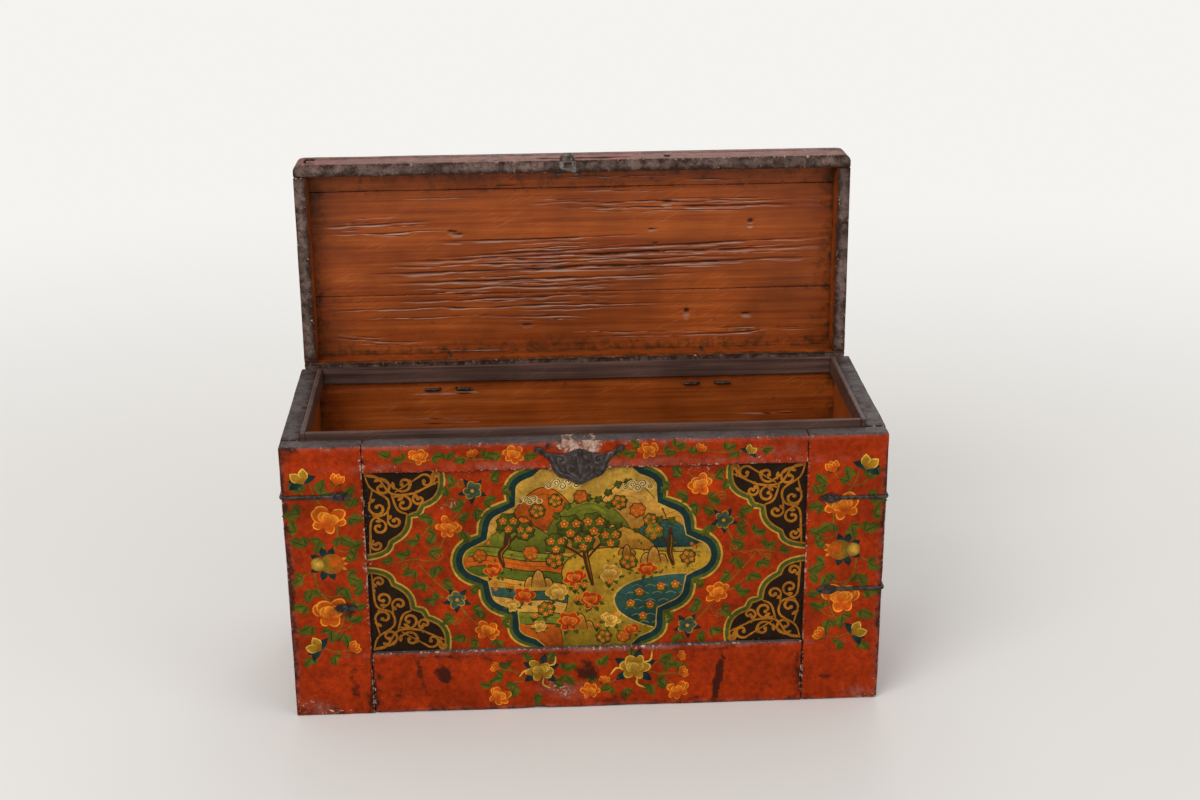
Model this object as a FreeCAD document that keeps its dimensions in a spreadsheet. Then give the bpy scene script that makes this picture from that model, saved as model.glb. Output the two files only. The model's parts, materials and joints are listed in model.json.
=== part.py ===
"""Painted wooden chest with an open lid, wrought iron hinges, lock plate, hasp and corner straps.

Box frame: origin at the centre of the underside, +X to the right, +Y to the back, +Z up.
Lid frame: origin on the hinge axis, lid drawn closed, then turned open by its placement.
Hasp frame: origin on the hasp's own axis, tongue drawn hanging straight down.
"""
import FreeCAD, Part
import math
import os
from types import SimpleNamespace

import Sketcher

# Driving dimensions, in millimetres and degrees
SIZES = {
    # box
    "box_width": 660,
    "box_depth": 256,
    "wall_height": 326,
    "wall": 22,
    "corner_wear": 3,
    "edge_wear": 2.5,
    # front frame and its panel
    "stile_width": 88,
    "top_rail_height": 33,
    "bottom_rail_height": 76,
    "panel_recess": 5,
    "panel_thickness": 10,
    "groove_depth": 8,
    "groove_slack": 0.6,
    # boards of the back, the ends and the floor
    "tongue_thickness": 8,
    "tongue_length": 6,
    "tongue_slack": 0.5,
    "back_lower_board": 168,
    "end_lower_board": 182,
    "floor_thickness": 14,
    # raised lip round the rim
    "lip_thickness": 5.5,
    "lip_height": 20,
    "lip_stand": 8,
    # lid
    "lid_height": 50,
    "lid_wall": 15,
    "lid_back_wall": 13,
    "lid_board_thickness": 14,
    "lid_front_board": 40,
    "lid_middle_board": 130,
    "lid_tongue_thickness": 5,
    "lid_tongue_length": 5,
    "lid_corner": 8,
    "lid_edge_wear": 3,
    "parting_gap": 0.4,
    "open_angle": 92,
    # hinges
    "axis_standoff": 5.8,
    "axis_drop": 22,
    "hinge_spread": 310,
    "staple_wire": 3.5,
    "staple_legs": 20,
    "staple_tail": 18,
    "staple_bend": 3,
    "eye_wire": 3.2,
    "eye_clearance": 0.35,
    "eye_rise": 14,
    "eye_bend": 2,
    "eye_tail": 12,
    # lock plate and its staple
    "lock_shift": -7,
    "lock_half_width": 49,
    "lock_height": 46,
    "lock_drop": 5,
    "lock_thickness": 1.6,
    "lock_relief": 1.2,
    "lock_staple_drop": 13,
    "lock_staple_legs": 6,
    "lock_staple_wire": 2.6,
    "lock_staple_reach": 10,
    "lock_staple_depth": 18,
    "lock_staple_bend": 2.4,
    # hasp
    "hasp_standoff": 4.5,
    "hasp_rise": 5,
    "hasp_wire": 3,
    "hasp_legs": 15,
    "hasp_tail": 8,
    "hasp_bend": 2.6,
    "hasp_clearance": 0.35,
    "hasp_thickness": 2,
    "hasp_neck_width": 9,
    "hasp_neck": 11,
    "hasp_width": 19,
    "hasp_length": 31,
    "hasp_hole": 9.5,
    "hasp_hole_drop": 18,
    "hasp_rest_tilt": 30,
    # corner straps
    "strap_width": 5,
    "strap_thickness": 2.4,
    "strap_front_reach": 75,
    "strap_side_reach": 70,
    "spear_length": 26,
    "spear_width": 11,
    "spear_thickness": 1.8,
    "left_upper_strap": 58,
    "right_upper_strap": 75,
    "right_lower_strap": 186,
    "left_lower_strap": 192,
    # nails
    "nail_head": 8,
    "nail_head_height": 2,
    "nail_shank": 3,
    "nail_fit": 0.1,
    "board_nail_length": 38,
    "short_nail_length": 16,
    "bent_nail_length": 12,
    "bent_nail_stand": 3.2,
    # how far a cut runs past the faces that it opens
    "overrun": 2,
}

# Nail places along a run of boards, as shares of the run's half length
LID_NAIL_SHARES = (-0.86, -0.43, 0, 0.43, 0.86)
BACK_NAIL_SHARES = (0.2, 0.55, 0.9)
LID_SIDE_NAIL_SHARES = (0.3, 0.7)
LID_FRONT_NAIL_SHARE = 0.34
LID_BENT_NAIL_SHARE = 0.96

# Lock plate: right half of its outline from the top, as shares of half width and height
LOCK_CORNER_SHARES = ((0.16, 0.14), (0.95, 0.0), (0.98, 0.13), (0.62, 0.5), (0.32, 0.84), (0.0, 1.0))
LOCK_THROUGH_SHARES = ((0.55, 0.21), (1.0, 0.06), (0.77, 0.28), (0.52, 0.74), (0.14, 0.95))
LOCK_CROWN_SHARE = 0.1
LOCK_NAIL_SHARES = (0.88, 0.1)
LOCK_RELIEF_SHARE = 0.72
LOCK_RELIEF_DROP_SHARE = 0.16

# Hasp plate below its neck, as shares of half width and of the length below the neck
HASP_CORNER_SHARES = ((1, 0), (1, 1), (0.1, 0.86), (-0.72, 0.74), (-1, 0.5), (-1, 0))

# Half the side of a square less its inscribed arc, for the middle of a right-angle bend
BEND_MIDDLE_SHARE = 1 - math.sqrt(0.5)
DOME_SHARE = 0.8
FULL_TURN = 360
FLOOR_BOARDS = ("front", "middle", "back")
TOLERANCE = 1e-5

doc = FreeCAD.newDocument("painted_chest")
sheet = doc.addObject("Spreadsheet::Sheet", "sizes")
for row, (name, number) in enumerate(SIZES.items(), start=1):
    sheet.set(f"A{row}", name)
    sheet.set(f"B{row}", str(number))
    sheet.setAlias(f"B{row}", name)
doc.recompute()


class Size:
    """A dimension: its formula over the sheet's cells and the number that it comes to."""

    def __init__(self, formula, value):
        self.formula = formula
        self.value = value

    def joined(self, sign, other, value):
        return Size(f"({self.formula} {sign} {as_size(other).formula})", value)

    def __add__(self, other):
        return self.joined("+", other, self.value + as_size(other).value)

    def __sub__(self, other):
        return self.joined("-", other, self.value - as_size(other).value)

    def __mul__(self, other):
        return self.joined("*", other, self.value * as_size(other).value)

    def __truediv__(self, other):
        return self.joined("/", other, self.value / as_size(other).value)

    def __neg__(self):
        return self * -1


def as_size(number):
    return number if isinstance(number, Size) else Size(f"({number})", number)


def cosine(angle):
    return Size(f"cos({angle.formula})", math.cos(math.radians(angle.value)))


def sine(angle):
    return Size(f"sin({angle.formula})", math.sin(math.radians(angle.value)))


def bind(item, path, size):
    item.setExpression(path, as_size(size).formula)


s = SimpleNamespace(**{name: Size(f"sizes.{name}", number) for name, number in SIZES.items()})
ZERO = as_size(0)

# Main faces of the box
half_width = s.box_width / 2
half_depth = s.box_depth / 2
front = -half_depth
front_inner = front + s.wall
back = half_depth
back_inner = back - s.wall
end_inner = half_width - s.wall
opening_half = half_width - s.stile_width
panel_front = front + s.panel_recess
panel_back = panel_front + s.panel_thickness
panel_half = opening_half + s.groove_depth - s.groove_slack
top_rail_bottom = s.wall_height - s.top_rail_height
through_height = (-s.overrun, s.wall_height + s.overrun)
tongue_half = s.tongue_thickness / 2
tongue_reach = s.tongue_length - s.tongue_slack
nail_hole = s.nail_shank + s.nail_fit

# Main faces of the closed lid, in the lid frame
lid_mouth = s.axis_drop + s.parting_gap
lid_back = -s.axis_standoff
lid_back_inner = lid_back - s.lid_back_wall
lid_front = lid_back - s.box_depth
lid_front_inner = lid_front + s.lid_wall
lid_side_inner = half_width - s.lid_wall
lid_top = lid_mouth + s.lid_height
lid_rail_top = lid_top - s.lid_board_thickness

# Hinge axis in the box frame, and the middle line of the eye that turns on it
axis_y = back + s.axis_standoff
axis_z = s.wall_height - s.axis_drop
eye_radius = s.staple_wire / 2 + s.eye_clearance + s.eye_wire / 2
eye_pin_z = lid_mouth + s.eye_rise

# Hasp axis in the lid frame
hasp_y = lid_front - s.hasp_standoff
hasp_z = lid_mouth + s.hasp_rise

bodies = []
PLANES = {"XY": ("XY_Plane", 1), "XZ": ("XZ_Plane", -1), "YZ": ("YZ_Plane", 1)}


def in_box(body):
    body.Placement = FreeCAD.Placement()


def on_lid(body):
    turn = FreeCAD.Rotation(FreeCAD.Vector(1, 0, 0), -s.open_angle.value)
    body.Placement = FreeCAD.Placement(FreeCAD.Vector(), turn)
    bind(body, "Placement.Base.y", axis_y)
    bind(body, "Placement.Base.z", axis_z)
    bind(body, "Placement.Rotation.Angle", -s.open_angle)


def on_hasp(body):
    tilt = s.hasp_rest_tilt - s.open_angle
    turn = FreeCAD.Rotation(FreeCAD.Vector(1, 0, 0), tilt.value)
    body.Placement = FreeCAD.Placement(FreeCAD.Vector(), turn)
    cos_open = cosine(s.open_angle)
    sin_open = sine(s.open_angle)
    bind(body, "Placement.Base.x", s.lock_shift)
    bind(body, "Placement.Base.y", axis_y + hasp_y * cos_open + hasp_z * sin_open)
    bind(body, "Placement.Base.z", axis_z - hasp_y * sin_open + hasp_z * cos_open)
    bind(body, "Placement.Rotation.Angle", tilt)


def new_body(label, frame=in_box):
    body = doc.addObject("PartDesign::Body", label)
    body.Label = label
    frame(body)
    bodies.append(body)
    return body


def origin_feature(body, role):
    return next(item for item in body.Origin.OriginFeatures if item.Role == role)


def new_sketch(body, plane, level):
    role, sign = PLANES[plane]
    sketch = body.newObject("Sketcher::SketchObject", "sketch")
    sketch.AttachmentSupport = (origin_feature(body, role), "")
    sketch.MapMode = "FlatFace"
    bind(sketch, "AttachmentOffset.Base.z", level * sign)
    return sketch


def vector(point):
    return FreeCAD.Vector(point[0].value, point[1].value, 0)


def pin(sketch, geometry, position, point):
    """Holds one sketch point at a place given by two sizes."""
    for kind, size in zip(("DistanceX", "DistanceY"), point):
        index = sketch.addConstraint(Sketcher.Constraint(kind, -1, 1, geometry, position, size.value))
        bind(sketch, f"Constraints[{index}]", size)


def side(sketch, start, end, middle):
    """Adds a line, or an arc through a middle point; returns its start and end as sketch points."""
    if middle is None:
        line = sketch.addGeometry(Part.LineSegment(vector(start), vector(end)))
        return (line, 1), (line, 2)
    a, b, m = vector(start), vector(end), vector(middle)
    leftward = (m - a).cross(b - m).z > 0
    first, last = (a, b) if leftward else (b, a)
    arc = sketch.addGeometry(Part.Arc(first, m, last))
    dot = sketch.addGeometry(Part.Point(m), True)
    pin(sketch, dot, 1, middle)
    sketch.addConstraint(Sketcher.Constraint("PointOnObject", dot, 1, arc))
    return ((arc, 1), (arc, 2)) if leftward else ((arc, 2), (arc, 1))


def chain(sketch, corners, middles, closed):
    """Draws a run of lines and arcs through corners, each corner held by its two sizes."""
    count = len(corners) if closed else len(corners) - 1
    ends = []
    for i in range(count):
        ends.append(side(sketch, corners[i], corners[(i + 1) % len(corners)], middles.get(i)))
    for i in range(count if closed else count - 1):
        sketch.addConstraint(Sketcher.Constraint("Coincident", *ends[i][1], *ends[(i + 1) % count][0]))
    for i in range(count):
        pin(sketch, *ends[i][0], corners[i])
    if not closed:
        pin(sketch, *ends[-1][1], corners[-1])


def extrude(body, sketch, length, cut):
    before = body.Shape.Volume if cut else 0
    feature = body.newObject("PartDesign::Pocket" if cut else "PartDesign::Pad", "cut" if cut else "pad")
    feature.Profile = sketch
    bind(feature, "Length", length)
    doc.recompute()
    if cut and feature.Shape.Volume >= before:
        raise RuntimeError(f"a cut in {body.Label} takes nothing away")
    return feature


def sketch_for(body, plane, span, cut):
    """Sketch at the end of a span from which a pad, or a cut the other way, covers the span."""
    ahead = PLANES[plane][1] > 0
    return new_sketch(body, plane, span[0] if ahead != cut else span[1])


def prism(body, plane, corners, span, middles=None, cut=False):
    sketch = sketch_for(body, plane, span, cut)
    chain(sketch, corners, middles or {}, True)
    return extrude(body, sketch, span[1] - span[0], cut)


def circle(sketch, centre, diameter):
    ring = Part.Circle(vector(centre), FreeCAD.Vector(0, 0, 1), diameter.value / 2)
    geometry = sketch.addGeometry(ring)
    pin(sketch, geometry, 3, centre)
    index = sketch.addConstraint(Sketcher.Constraint("Diameter", geometry, diameter.value))
    bind(sketch, f"Constraints[{index}]", diameter)


def rounds(body, plane, centres, diameter, span, cut=False):
    sketch = sketch_for(body, plane, span, cut)
    for centre in centres:
        circle(sketch, centre, diameter)
    return extrude(body, sketch, span[1] - span[0], cut)


def rectangle(u, v):
    return [(u[0], v[0]), (u[1], v[0]), (u[1], v[1]), (u[0], v[1])]


def block(body, x, y, z):
    return prism(body, "XY", rectangle(x, y), z)


def slot(body, x, y, z):
    return prism(body, "XY", rectangle(x, y), z, cut=True)


def across(hand, near, far):
    """X range between two distances from the middle plane, on the left (-1) or right (+1)."""
    return (near, far) if hand > 0 else (-far, -near)


def both_ways(half):
    return (-half, half)


def edges_on(shape, wanted):
    """Names of the edges that pass a test on their bounding box and the shape's."""
    outer = shape.BoundBox
    return [f"Edge{i}" for i, edge in enumerate(shape.Edges, start=1) if wanted(edge.BoundBox, outer)]


def same(a, b):
    return abs(a - b) < TOLERANCE


def fillet(body, wanted, radius):
    base = body.Tip
    names = edges_on(base.Shape, wanted)
    if not names:
        raise RuntimeError(f"no edges to round on {body.Label}")
    feature = body.newObject("PartDesign::Fillet", "wear")
    feature.Base = (base, names)
    bind(feature, "Radius", radius)
    doc.recompute()
    return feature


def upright(edge):
    return same(edge.XMin, edge.XMax) and same(edge.YMin, edge.YMax)


def tangent_route(corners, bend):
    """Turns right-angle corners into tangent points, with a middle point for each bend."""
    points = [corners[0]]
    middles = {}
    for last, corner, following in zip(corners, corners[1:], corners[2:]):
        to_last = [direction(a, b) for a, b in zip(corner, last)]
        to_next = [direction(a, b) for a, b in zip(corner, following)]
        points.append(tuple(c + bend * d for c, d in zip(corner, to_last)))
        middle = tuple(c + bend * ((a + b) * BEND_MIDDLE_SHARE) for c, a, b in zip(corner, to_last, to_next))
        middles[len(points) - 1] = middle
        points.append(tuple(c + bend * d for c, d in zip(corner, to_next)))
    points.append(corners[-1])
    return points, middles


def direction(start, end):
    gap = end.value - start.value
    return 0 if same(gap, 0) else int(math.copysign(1, gap))


def start_section(plane, level, corners):
    """Plane, level and place of the section at the start of a route."""
    u, v = corners[0]
    along_u = direction(u, corners[1][0]) != 0
    if plane == "XY":
        return ("YZ", u, (v, level)) if along_u else ("XZ", v, (u, level))
    if plane == "YZ":
        return ("XZ", u, (level, v)) if along_u else ("XY", v, (level, u))
    return ("YZ", u, (level, v)) if along_u else ("XY", v, (u, level))


def pipe(body, plane, level, corners, bend, section):
    path = new_sketch(body, plane, level)
    points, middles = tangent_route(corners, bend)
    chain(path, points, middles, False)
    feature = body.newObject("PartDesign::AdditivePipe", "pipe")
    feature.Profile = section
    feature.Spine = path
    doc.recompute()
    return feature


def wire(body, plane, level, corners, bend, diameter):
    """Round iron wire along a route with right-angle bends."""
    section_plane, section_level, centre = start_section(plane, level, corners)
    section = new_sketch(body, section_plane, section_level)
    circle(section, centre, diameter)
    return pipe(body, plane, level, corners, bend, section)


def nails(label, groups, length, frame=in_box):
    """Domed nails; each group is a plane, its centres, the seat face and the way the head looks."""
    body = new_body(label, frame)
    for plane, centres, seat, outward in groups:
        tip = seat - length * outward
        crown = seat + s.nail_head_height * outward
        rounds(body, plane, centres, s.nail_shank, (tip, seat) if outward > 0 else (seat, tip))
        rounds(body, plane, centres, s.nail_head, (seat, crown) if outward > 0 else (crown, seat))
        axis = plane_axis(plane)
        fillet(body, lambda edge, outer: at_level(edge, axis, crown.value), s.nail_head_height * DOME_SHARE)
    return body


def plane_axis(plane):
    return {"XY": "Z", "XZ": "Y", "YZ": "X"}[plane]


def at_level(edge, axis, level):
    return same(getattr(edge, axis + "Min"), level) and same(getattr(edge, axis + "Max"), level)


# Front frame: grooved stiles and rails round a recessed panel
lock_staple_z = s.wall_height - s.lock_staple_drop
lock_staple_places = [
    (s.lock_shift, lock_staple_z + s.lock_staple_legs / 2),
    (s.lock_shift, lock_staple_z - s.lock_staple_legs / 2),
]
lock_nail_places = [
    (
        s.lock_shift + s.lock_half_width * (LOCK_NAIL_SHARES[0] * hand),
        s.wall_height - s.lock_drop - s.lock_height * LOCK_NAIL_SHARES[1],
    )
    for hand in (-1, 1)
]
strap_heights = {
    "left_upper": (-1, s.wall_height - s.left_upper_strap),
    "right_upper": (1, s.wall_height - s.right_upper_strap),
    "right_lower": (1, s.wall_height - s.right_lower_strap),
    "left_lower": (-1, s.wall_height - s.left_lower_strap),
}
spear_middle = half_width - s.strap_front_reach + s.spear_length / 2
side_spear_middle = front + s.strap_side_reach - s.spear_length / 2
short_nail_tip = front + s.short_nail_length


def front_nail_places(hand):
    heights = [height for strap_hand, height in strap_heights.values() if strap_hand == hand]
    return [(spear_middle * hand, height) for height in heights]


def make_stile(label, hand):
    body = new_body(label)
    block(body, across(hand, opening_half, half_width), (front, front_inner), (ZERO, s.wall_height))
    slot(
        body,
        across(hand, opening_half - s.overrun, opening_half + s.groove_depth),
        (panel_front, panel_back),
        through_height,
    )
    end_middle = half_width - s.wall / 2
    slot(
        body,
        across(hand, end_middle - tongue_half, end_middle + tongue_half),
        (front_inner - s.tongue_length, front_inner + s.overrun),
        through_height,
    )
    rounds(body, "XZ", front_nail_places(hand), nail_hole, (front, short_nail_tip), cut=True)
    fillet(
        body,
        lambda edge, outer: upright(edge)
        and same(edge.YMax, outer.YMin)
        and same(edge.XMax if hand < 0 else edge.XMin, outer.XMin if hand < 0 else outer.XMax),
        s.corner_wear,
    )


def make_rail(label, low, high, groove, worn_high):
    """Rail with stub tenons in the stiles' grooves and its own groove for the panel."""
    body = new_body(label)
    block(body, both_ways(opening_half), (front, front_inner), (low, high))
    block(body, both_ways(panel_half), (panel_front, panel_back), (low, high))
    slot(body, both_ways(panel_half + s.overrun), (panel_front, panel_back), groove)
    fillet(
        body,
        lambda edge, outer: same(edge.YMax, outer.YMin)
        and same(edge.ZMin, edge.ZMax)
        and same(edge.ZMin, outer.ZMax if worn_high else outer.ZMin),
        s.edge_wear,
    )
    return body


make_stile("front_left_stile", -1)
make_stile("front_right_stile", 1)
top_rail = make_rail(
    "front_top_rail",
    top_rail_bottom,
    s.wall_height,
    (top_rail_bottom - s.overrun, top_rail_bottom + s.groove_depth),
    worn_high=False,
)
rounds(top_rail, "XZ", lock_nail_places, nail_hole, (front, short_nail_tip), cut=True)
staple_hole = s.lock_staple_wire + s.nail_fit
rounds(top_rail, "XZ", lock_staple_places, staple_hole, (front, front + s.lock_staple_depth), cut=True)
make_rail(
    "front_bottom_rail",
    ZERO,
    s.bottom_rail_height,
    (s.bottom_rail_height - s.groove_depth, s.bottom_rail_height + s.overrun),
    worn_high=True,
)
front_panel = new_body("front_panel")
panel_edge = s.groove_depth - s.groove_slack
block(
    front_panel,
    both_ways(panel_half),
    (panel_front, panel_back),
    (s.bottom_rail_height - panel_edge, top_rail_bottom + panel_edge),
)

# Back wall: two boards, tongue and groove, with grooves for the ends
back_middle = back - s.wall / 2
staple_x = [s.hinge_spread / 2 * hand for hand in (-1, 1)]
staple_places = [(x + s.staple_legs / 2 * leg, axis_z) for x in staple_x for leg in (-1, 1)]
end_centre = half_width - s.wall / 2
lower_nail_z = [s.back_lower_board * share for share in BACK_NAIL_SHARES]
upper_nail_base = s.end_lower_board + s.tongue_length + s.nail_head / 2
upper_nail_z = [upper_nail_base + (axis_z - upper_nail_base) * share for share in BACK_NAIL_SHARES]


def side_pairs(heights):
    return [(end_centre * hand, z) for z in heights for hand in (-1, 1)]


def make_back_board(label, low, high, nail_heights):
    body = new_body(label)
    block(body, both_ways(half_width), (back_inner, back), (low, high))
    for hand in (-1, 1):
        slot(
            body,
            across(hand, end_centre - tongue_half, end_centre + tongue_half),
            (back_inner - s.overrun, back_inner + s.tongue_length),
            through_height,
        )
    rounds(body, "XZ", side_pairs(nail_heights), nail_hole, (back_inner, back), cut=True)
    return body


def round_back_corners(body):
    fillet(
        body,
        lambda edge, outer: upright(edge)
        and same(edge.YMin, outer.YMax)
        and (same(edge.XMax, outer.XMin) or same(edge.XMin, outer.XMax)),
        s.corner_wear,
    )


tongue_y = (back_middle - tongue_half, back_middle + tongue_half)
back_lower = make_back_board("back_lower_board", ZERO, s.back_lower_board, lower_nail_z)
round_back_corners(back_lower)
back_tongue_z = (s.back_lower_board - s.overrun, s.back_lower_board + tongue_reach)
block(back_lower, both_ways(end_inner), tongue_y, back_tongue_z)
back_upper = make_back_board("back_upper_board", s.back_lower_board, s.wall_height, upper_nail_z)
slot(
    back_upper,
    both_ways(end_inner),
    tongue_y,
    (s.back_lower_board - s.overrun, s.back_lower_board + s.tongue_length),
)
rounds(back_upper, "XZ", staple_places, s.staple_wire + s.nail_fit, (back_inner, back), cut=True)
round_back_corners(back_upper)

# Ends: two boards each, tongued into the stiles and the back
floor_width = (back_inner - front_inner) / len(FLOOR_BOARDS)
floor_middles = [front_inner + floor_width / 2 + floor_width * i for i in range(len(FLOOR_BOARDS))]
floor_nail_places = [(y, s.floor_thickness / 2) for y in floor_middles]
board_nail_reach = half_width - s.board_nail_length
back_nail_tip = back - s.board_nail_length


def side_nail_places(hand, low, high):
    """Strap nails that fall on the end board between two heights."""
    return [
        (side_spear_middle, height)
        for name, (side_hand, height) in strap_heights.items()
        if side_hand == hand and name != "left_lower" and low.value < height.value < high.value
    ]


def make_end_board(label, hand, low, high, back_nails):
    body = new_body(label)
    x = across(hand, end_inner, half_width)
    tongue_x = across(hand, end_centre - tongue_half, end_centre + tongue_half)
    block(body, x, (front_inner, back_inner), (low, high))
    block(body, tongue_x, (front_inner - tongue_reach, back_inner + tongue_reach), (low, high))
    outer_face = across(hand, half_width - s.short_nail_length, half_width)
    straps = side_nail_places(hand, low, high)
    if straps:
        rounds(body, "YZ", straps, nail_hole, outer_face, cut=True)
    places = [(end_centre * hand, z) for z in back_nails]
    rounds(body, "XZ", places, nail_hole, (back_nail_tip, back_inner + tongue_reach), cut=True)
    return body


for word, hand in (("left", -1), ("right", 1)):
    tongue_x = across(hand, end_centre - tongue_half, end_centre + tongue_half)
    inner_y = (front_inner, back_inner)
    lower = make_end_board(f"{word}_end_lower_board", hand, ZERO, s.end_lower_board, lower_nail_z)
    block(lower, tongue_x, inner_y, (s.end_lower_board - s.overrun, s.end_lower_board + tongue_reach))
    rounds(lower, "YZ", floor_nail_places, nail_hole, across(hand, end_inner, half_width), cut=True)
    label = f"{word}_end_upper_board"
    upper = make_end_board(label, hand, s.end_lower_board, s.wall_height, upper_nail_z)
    through_y = (front_inner - s.tongue_length, back_inner + s.tongue_length)
    slot(upper, tongue_x, through_y, (s.end_lower_board - s.overrun, s.end_lower_board + s.tongue_length))

# Floor boards between the walls, flush with the underside
for word, middle in zip(FLOOR_BOARDS, floor_middles):
    board = new_body(f"floor_board_{word}")
    board_y = (middle - floor_width / 2, middle + floor_width / 2)
    block(board, both_ways(end_inner), board_y, (ZERO, s.floor_thickness))
    for hand in (-1, 1):
        rounds(
            board,
            "YZ",
            [(middle, s.floor_thickness / 2)],
            nail_hole,
            across(hand, board_nail_reach, end_inner),
            cut=True,
        )

# Lip strips: the side strips run through, the front and back ones fit between them
lip_z = (s.wall_height + s.lip_stand - s.lip_height, s.wall_height + s.lip_stand)
lip_side = end_inner - s.lip_thickness
for word, y in (
    ("front", (front_inner, front_inner + s.lip_thickness)),
    ("back", (back_inner - s.lip_thickness, back_inner)),
):
    block(new_body(f"rim_lip_{word}"), both_ways(lip_side), y, lip_z)
for word, hand in (("left", -1), ("right", 1)):
    block(new_body(f"rim_lip_{word}"), across(hand, lip_side, end_inner), (front_inner, back_inner), lip_z)

# Nails of the back and the floor
nails("back_nails", [("XZ", side_pairs(lower_nail_z + upper_nail_z), back, 1)], s.board_nail_length)
nails(
    "floor_nails",
    [("YZ", floor_nail_places, half_width * hand, hand) for hand in (-1, 1)],
    s.board_nail_length,
)

# Lock plate: a cloud-shaped sheet with a raised inner field
plate_face = front - s.lock_thickness


def lock_point(shares, scale_share=1, drop_share=0):
    u, v = shares
    x = s.lock_shift + s.lock_half_width * (u * scale_share)
    return x, s.wall_height - s.lock_drop - s.lock_height * (v * scale_share + drop_share)


def lock_outline(scale_share=1, drop_share=0):
    """Corners and arc middles of the plate, the left half mirrored from the right."""
    left_corners = [(-u, v) for u, v in reversed(LOCK_CORNER_SHARES[:-1])]
    left_middles = [(-u, v) for u, v in reversed(LOCK_THROUGH_SHARES)]
    corners = list(LOCK_CORNER_SHARES) + left_corners
    middles = list(LOCK_THROUGH_SHARES) + left_middles + [(0, LOCK_CROWN_SHARE)]
    placed = [lock_point(corner, scale_share, drop_share) for corner in corners]
    return placed, {i: lock_point(middle, scale_share, drop_share) for i, middle in enumerate(middles)}


lock_plate = new_body("lock_plate")
corners, middles = lock_outline()
prism(lock_plate, "XZ", corners, (plate_face, front), middles)
corners, middles = lock_outline(LOCK_RELIEF_SHARE, LOCK_RELIEF_DROP_SHARE)
prism(lock_plate, "XZ", corners, (plate_face - s.lock_relief, plate_face), middles)
rounds(lock_plate, "XZ", lock_nail_places, nail_hole, (plate_face, front), cut=True)
rounds(lock_plate, "XZ", lock_staple_places, staple_hole, (plate_face - s.lock_relief, front), cut=True)
nails("lock_plate_nails", [("XZ", lock_nail_places, plate_face, -1)], s.short_nail_length)

lock_staple = new_body("lock_staple")
staple_inner_end = front + s.lock_staple_depth
staple_nose = front - s.lock_staple_reach
upper_leg, lower_leg = (place[1] for place in lock_staple_places)
route = [
    (staple_inner_end, upper_leg),
    (staple_nose, upper_leg),
    (staple_nose, lower_leg),
    (staple_inner_end, lower_leg),
]
wire(lock_staple, "YZ", s.lock_shift, route, s.lock_staple_bend, s.lock_staple_wire)

# Corner straps: half-round bars bent round the corner, with spear-shaped ends
lens_half = s.spear_length / 2
spear_half = s.spear_width / 2


def lens(middle, height):
    corners = [(middle - lens_half, height), (middle + lens_half, height)]
    return corners, {0: (middle, height - spear_half), 1: (middle, height + spear_half)}


def front_spear(body, hand, height):
    corners, middles = lens(spear_middle * hand, height)
    prism(body, "XZ", corners, (front - s.spear_thickness, front), middles)
    nail_span = (front - s.strap_thickness, front)
    rounds(body, "XZ", [(spear_middle * hand, height)], nail_hole, nail_span, cut=True)


def make_strap(label, hand, height):
    body = new_body(label)
    bar_end = spear_middle + s.spear_width / 2
    half = s.strap_width / 2
    section = new_sketch(body, "YZ", bar_end * hand)
    bulge = (front - s.strap_thickness, height)
    chain(section, [(front, height - half), (front, height + half)], {1: bulge}, True)
    side_end = side_spear_middle - s.spear_width / 2
    route = [(bar_end * hand, front), (half_width * hand, front), (half_width * hand, side_end)]
    pipe(body, "XY", height, route, s.corner_wear, section)
    corners, middles = lens(side_spear_middle, height)
    prism(body, "YZ", corners, across(hand, half_width, half_width + s.spear_thickness), middles)
    side_span = across(hand, half_width, half_width + s.strap_thickness)
    rounds(body, "YZ", [(side_spear_middle, height)], nail_hole, side_span, cut=True)
    front_spear(body, hand, height)


for name in ("left_upper", "right_upper", "right_lower"):
    make_strap(f"corner_strap_{name}", *strap_heights[name])
broken_end = new_body("corner_strap_left_lower_end")
front_spear(broken_end, *strap_heights["left_lower"])

spear_face = front - s.spear_thickness
side_face = half_width + s.spear_thickness
nails(
    "strap_nails",
    [
        ("XZ", front_nail_places(-1) + front_nail_places(1), spear_face, -1),
        ("YZ", side_nail_places(-1, ZERO, s.wall_height), -side_face, -1),
        ("YZ", side_nail_places(1, ZERO, s.wall_height), side_face, 1),
    ],
    s.short_nail_length,
)

# Hinges: staples through the back wall, their tails clinched inside, and eye pins on the lid
for word, x in zip(("left", "right"), staple_x):
    staple = new_body(f"hinge_staple_{word}")
    tail_y = back_inner - s.staple_bend
    left_leg = x - s.staple_legs / 2
    right_leg = x + s.staple_legs / 2
    route = [
        (left_leg - s.staple_tail, tail_y),
        (left_leg, tail_y),
        (left_leg, axis_y),
        (right_leg, axis_y),
        (right_leg, tail_y),
        (right_leg + s.staple_tail, tail_y),
    ]
    wire(staple, "XY", axis_z, route, s.staple_bend, s.staple_wire)

    eye = new_body(f"lid_eye_pin_{word}", on_lid)
    tail_y = lid_back_inner - s.eye_bend
    route = [
        (ZERO, eye_radius),
        (ZERO, eye_pin_z),
        (tail_y, eye_pin_z),
        (tail_y, eye_pin_z + s.eye_tail),
    ]
    wire(eye, "YZ", x, route, s.eye_bend, s.eye_wire)
    ring = new_sketch(eye, "XY", ZERO)
    circle(ring, (x, -eye_radius), s.eye_wire)
    turn = eye.newObject("PartDesign::Revolution", "ring")
    turn.Profile = ring
    turn.ReferenceAxis = (origin_feature(eye, "X_Axis"), [""])
    turn.Angle = FULL_TURN
    doc.recompute()

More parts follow.
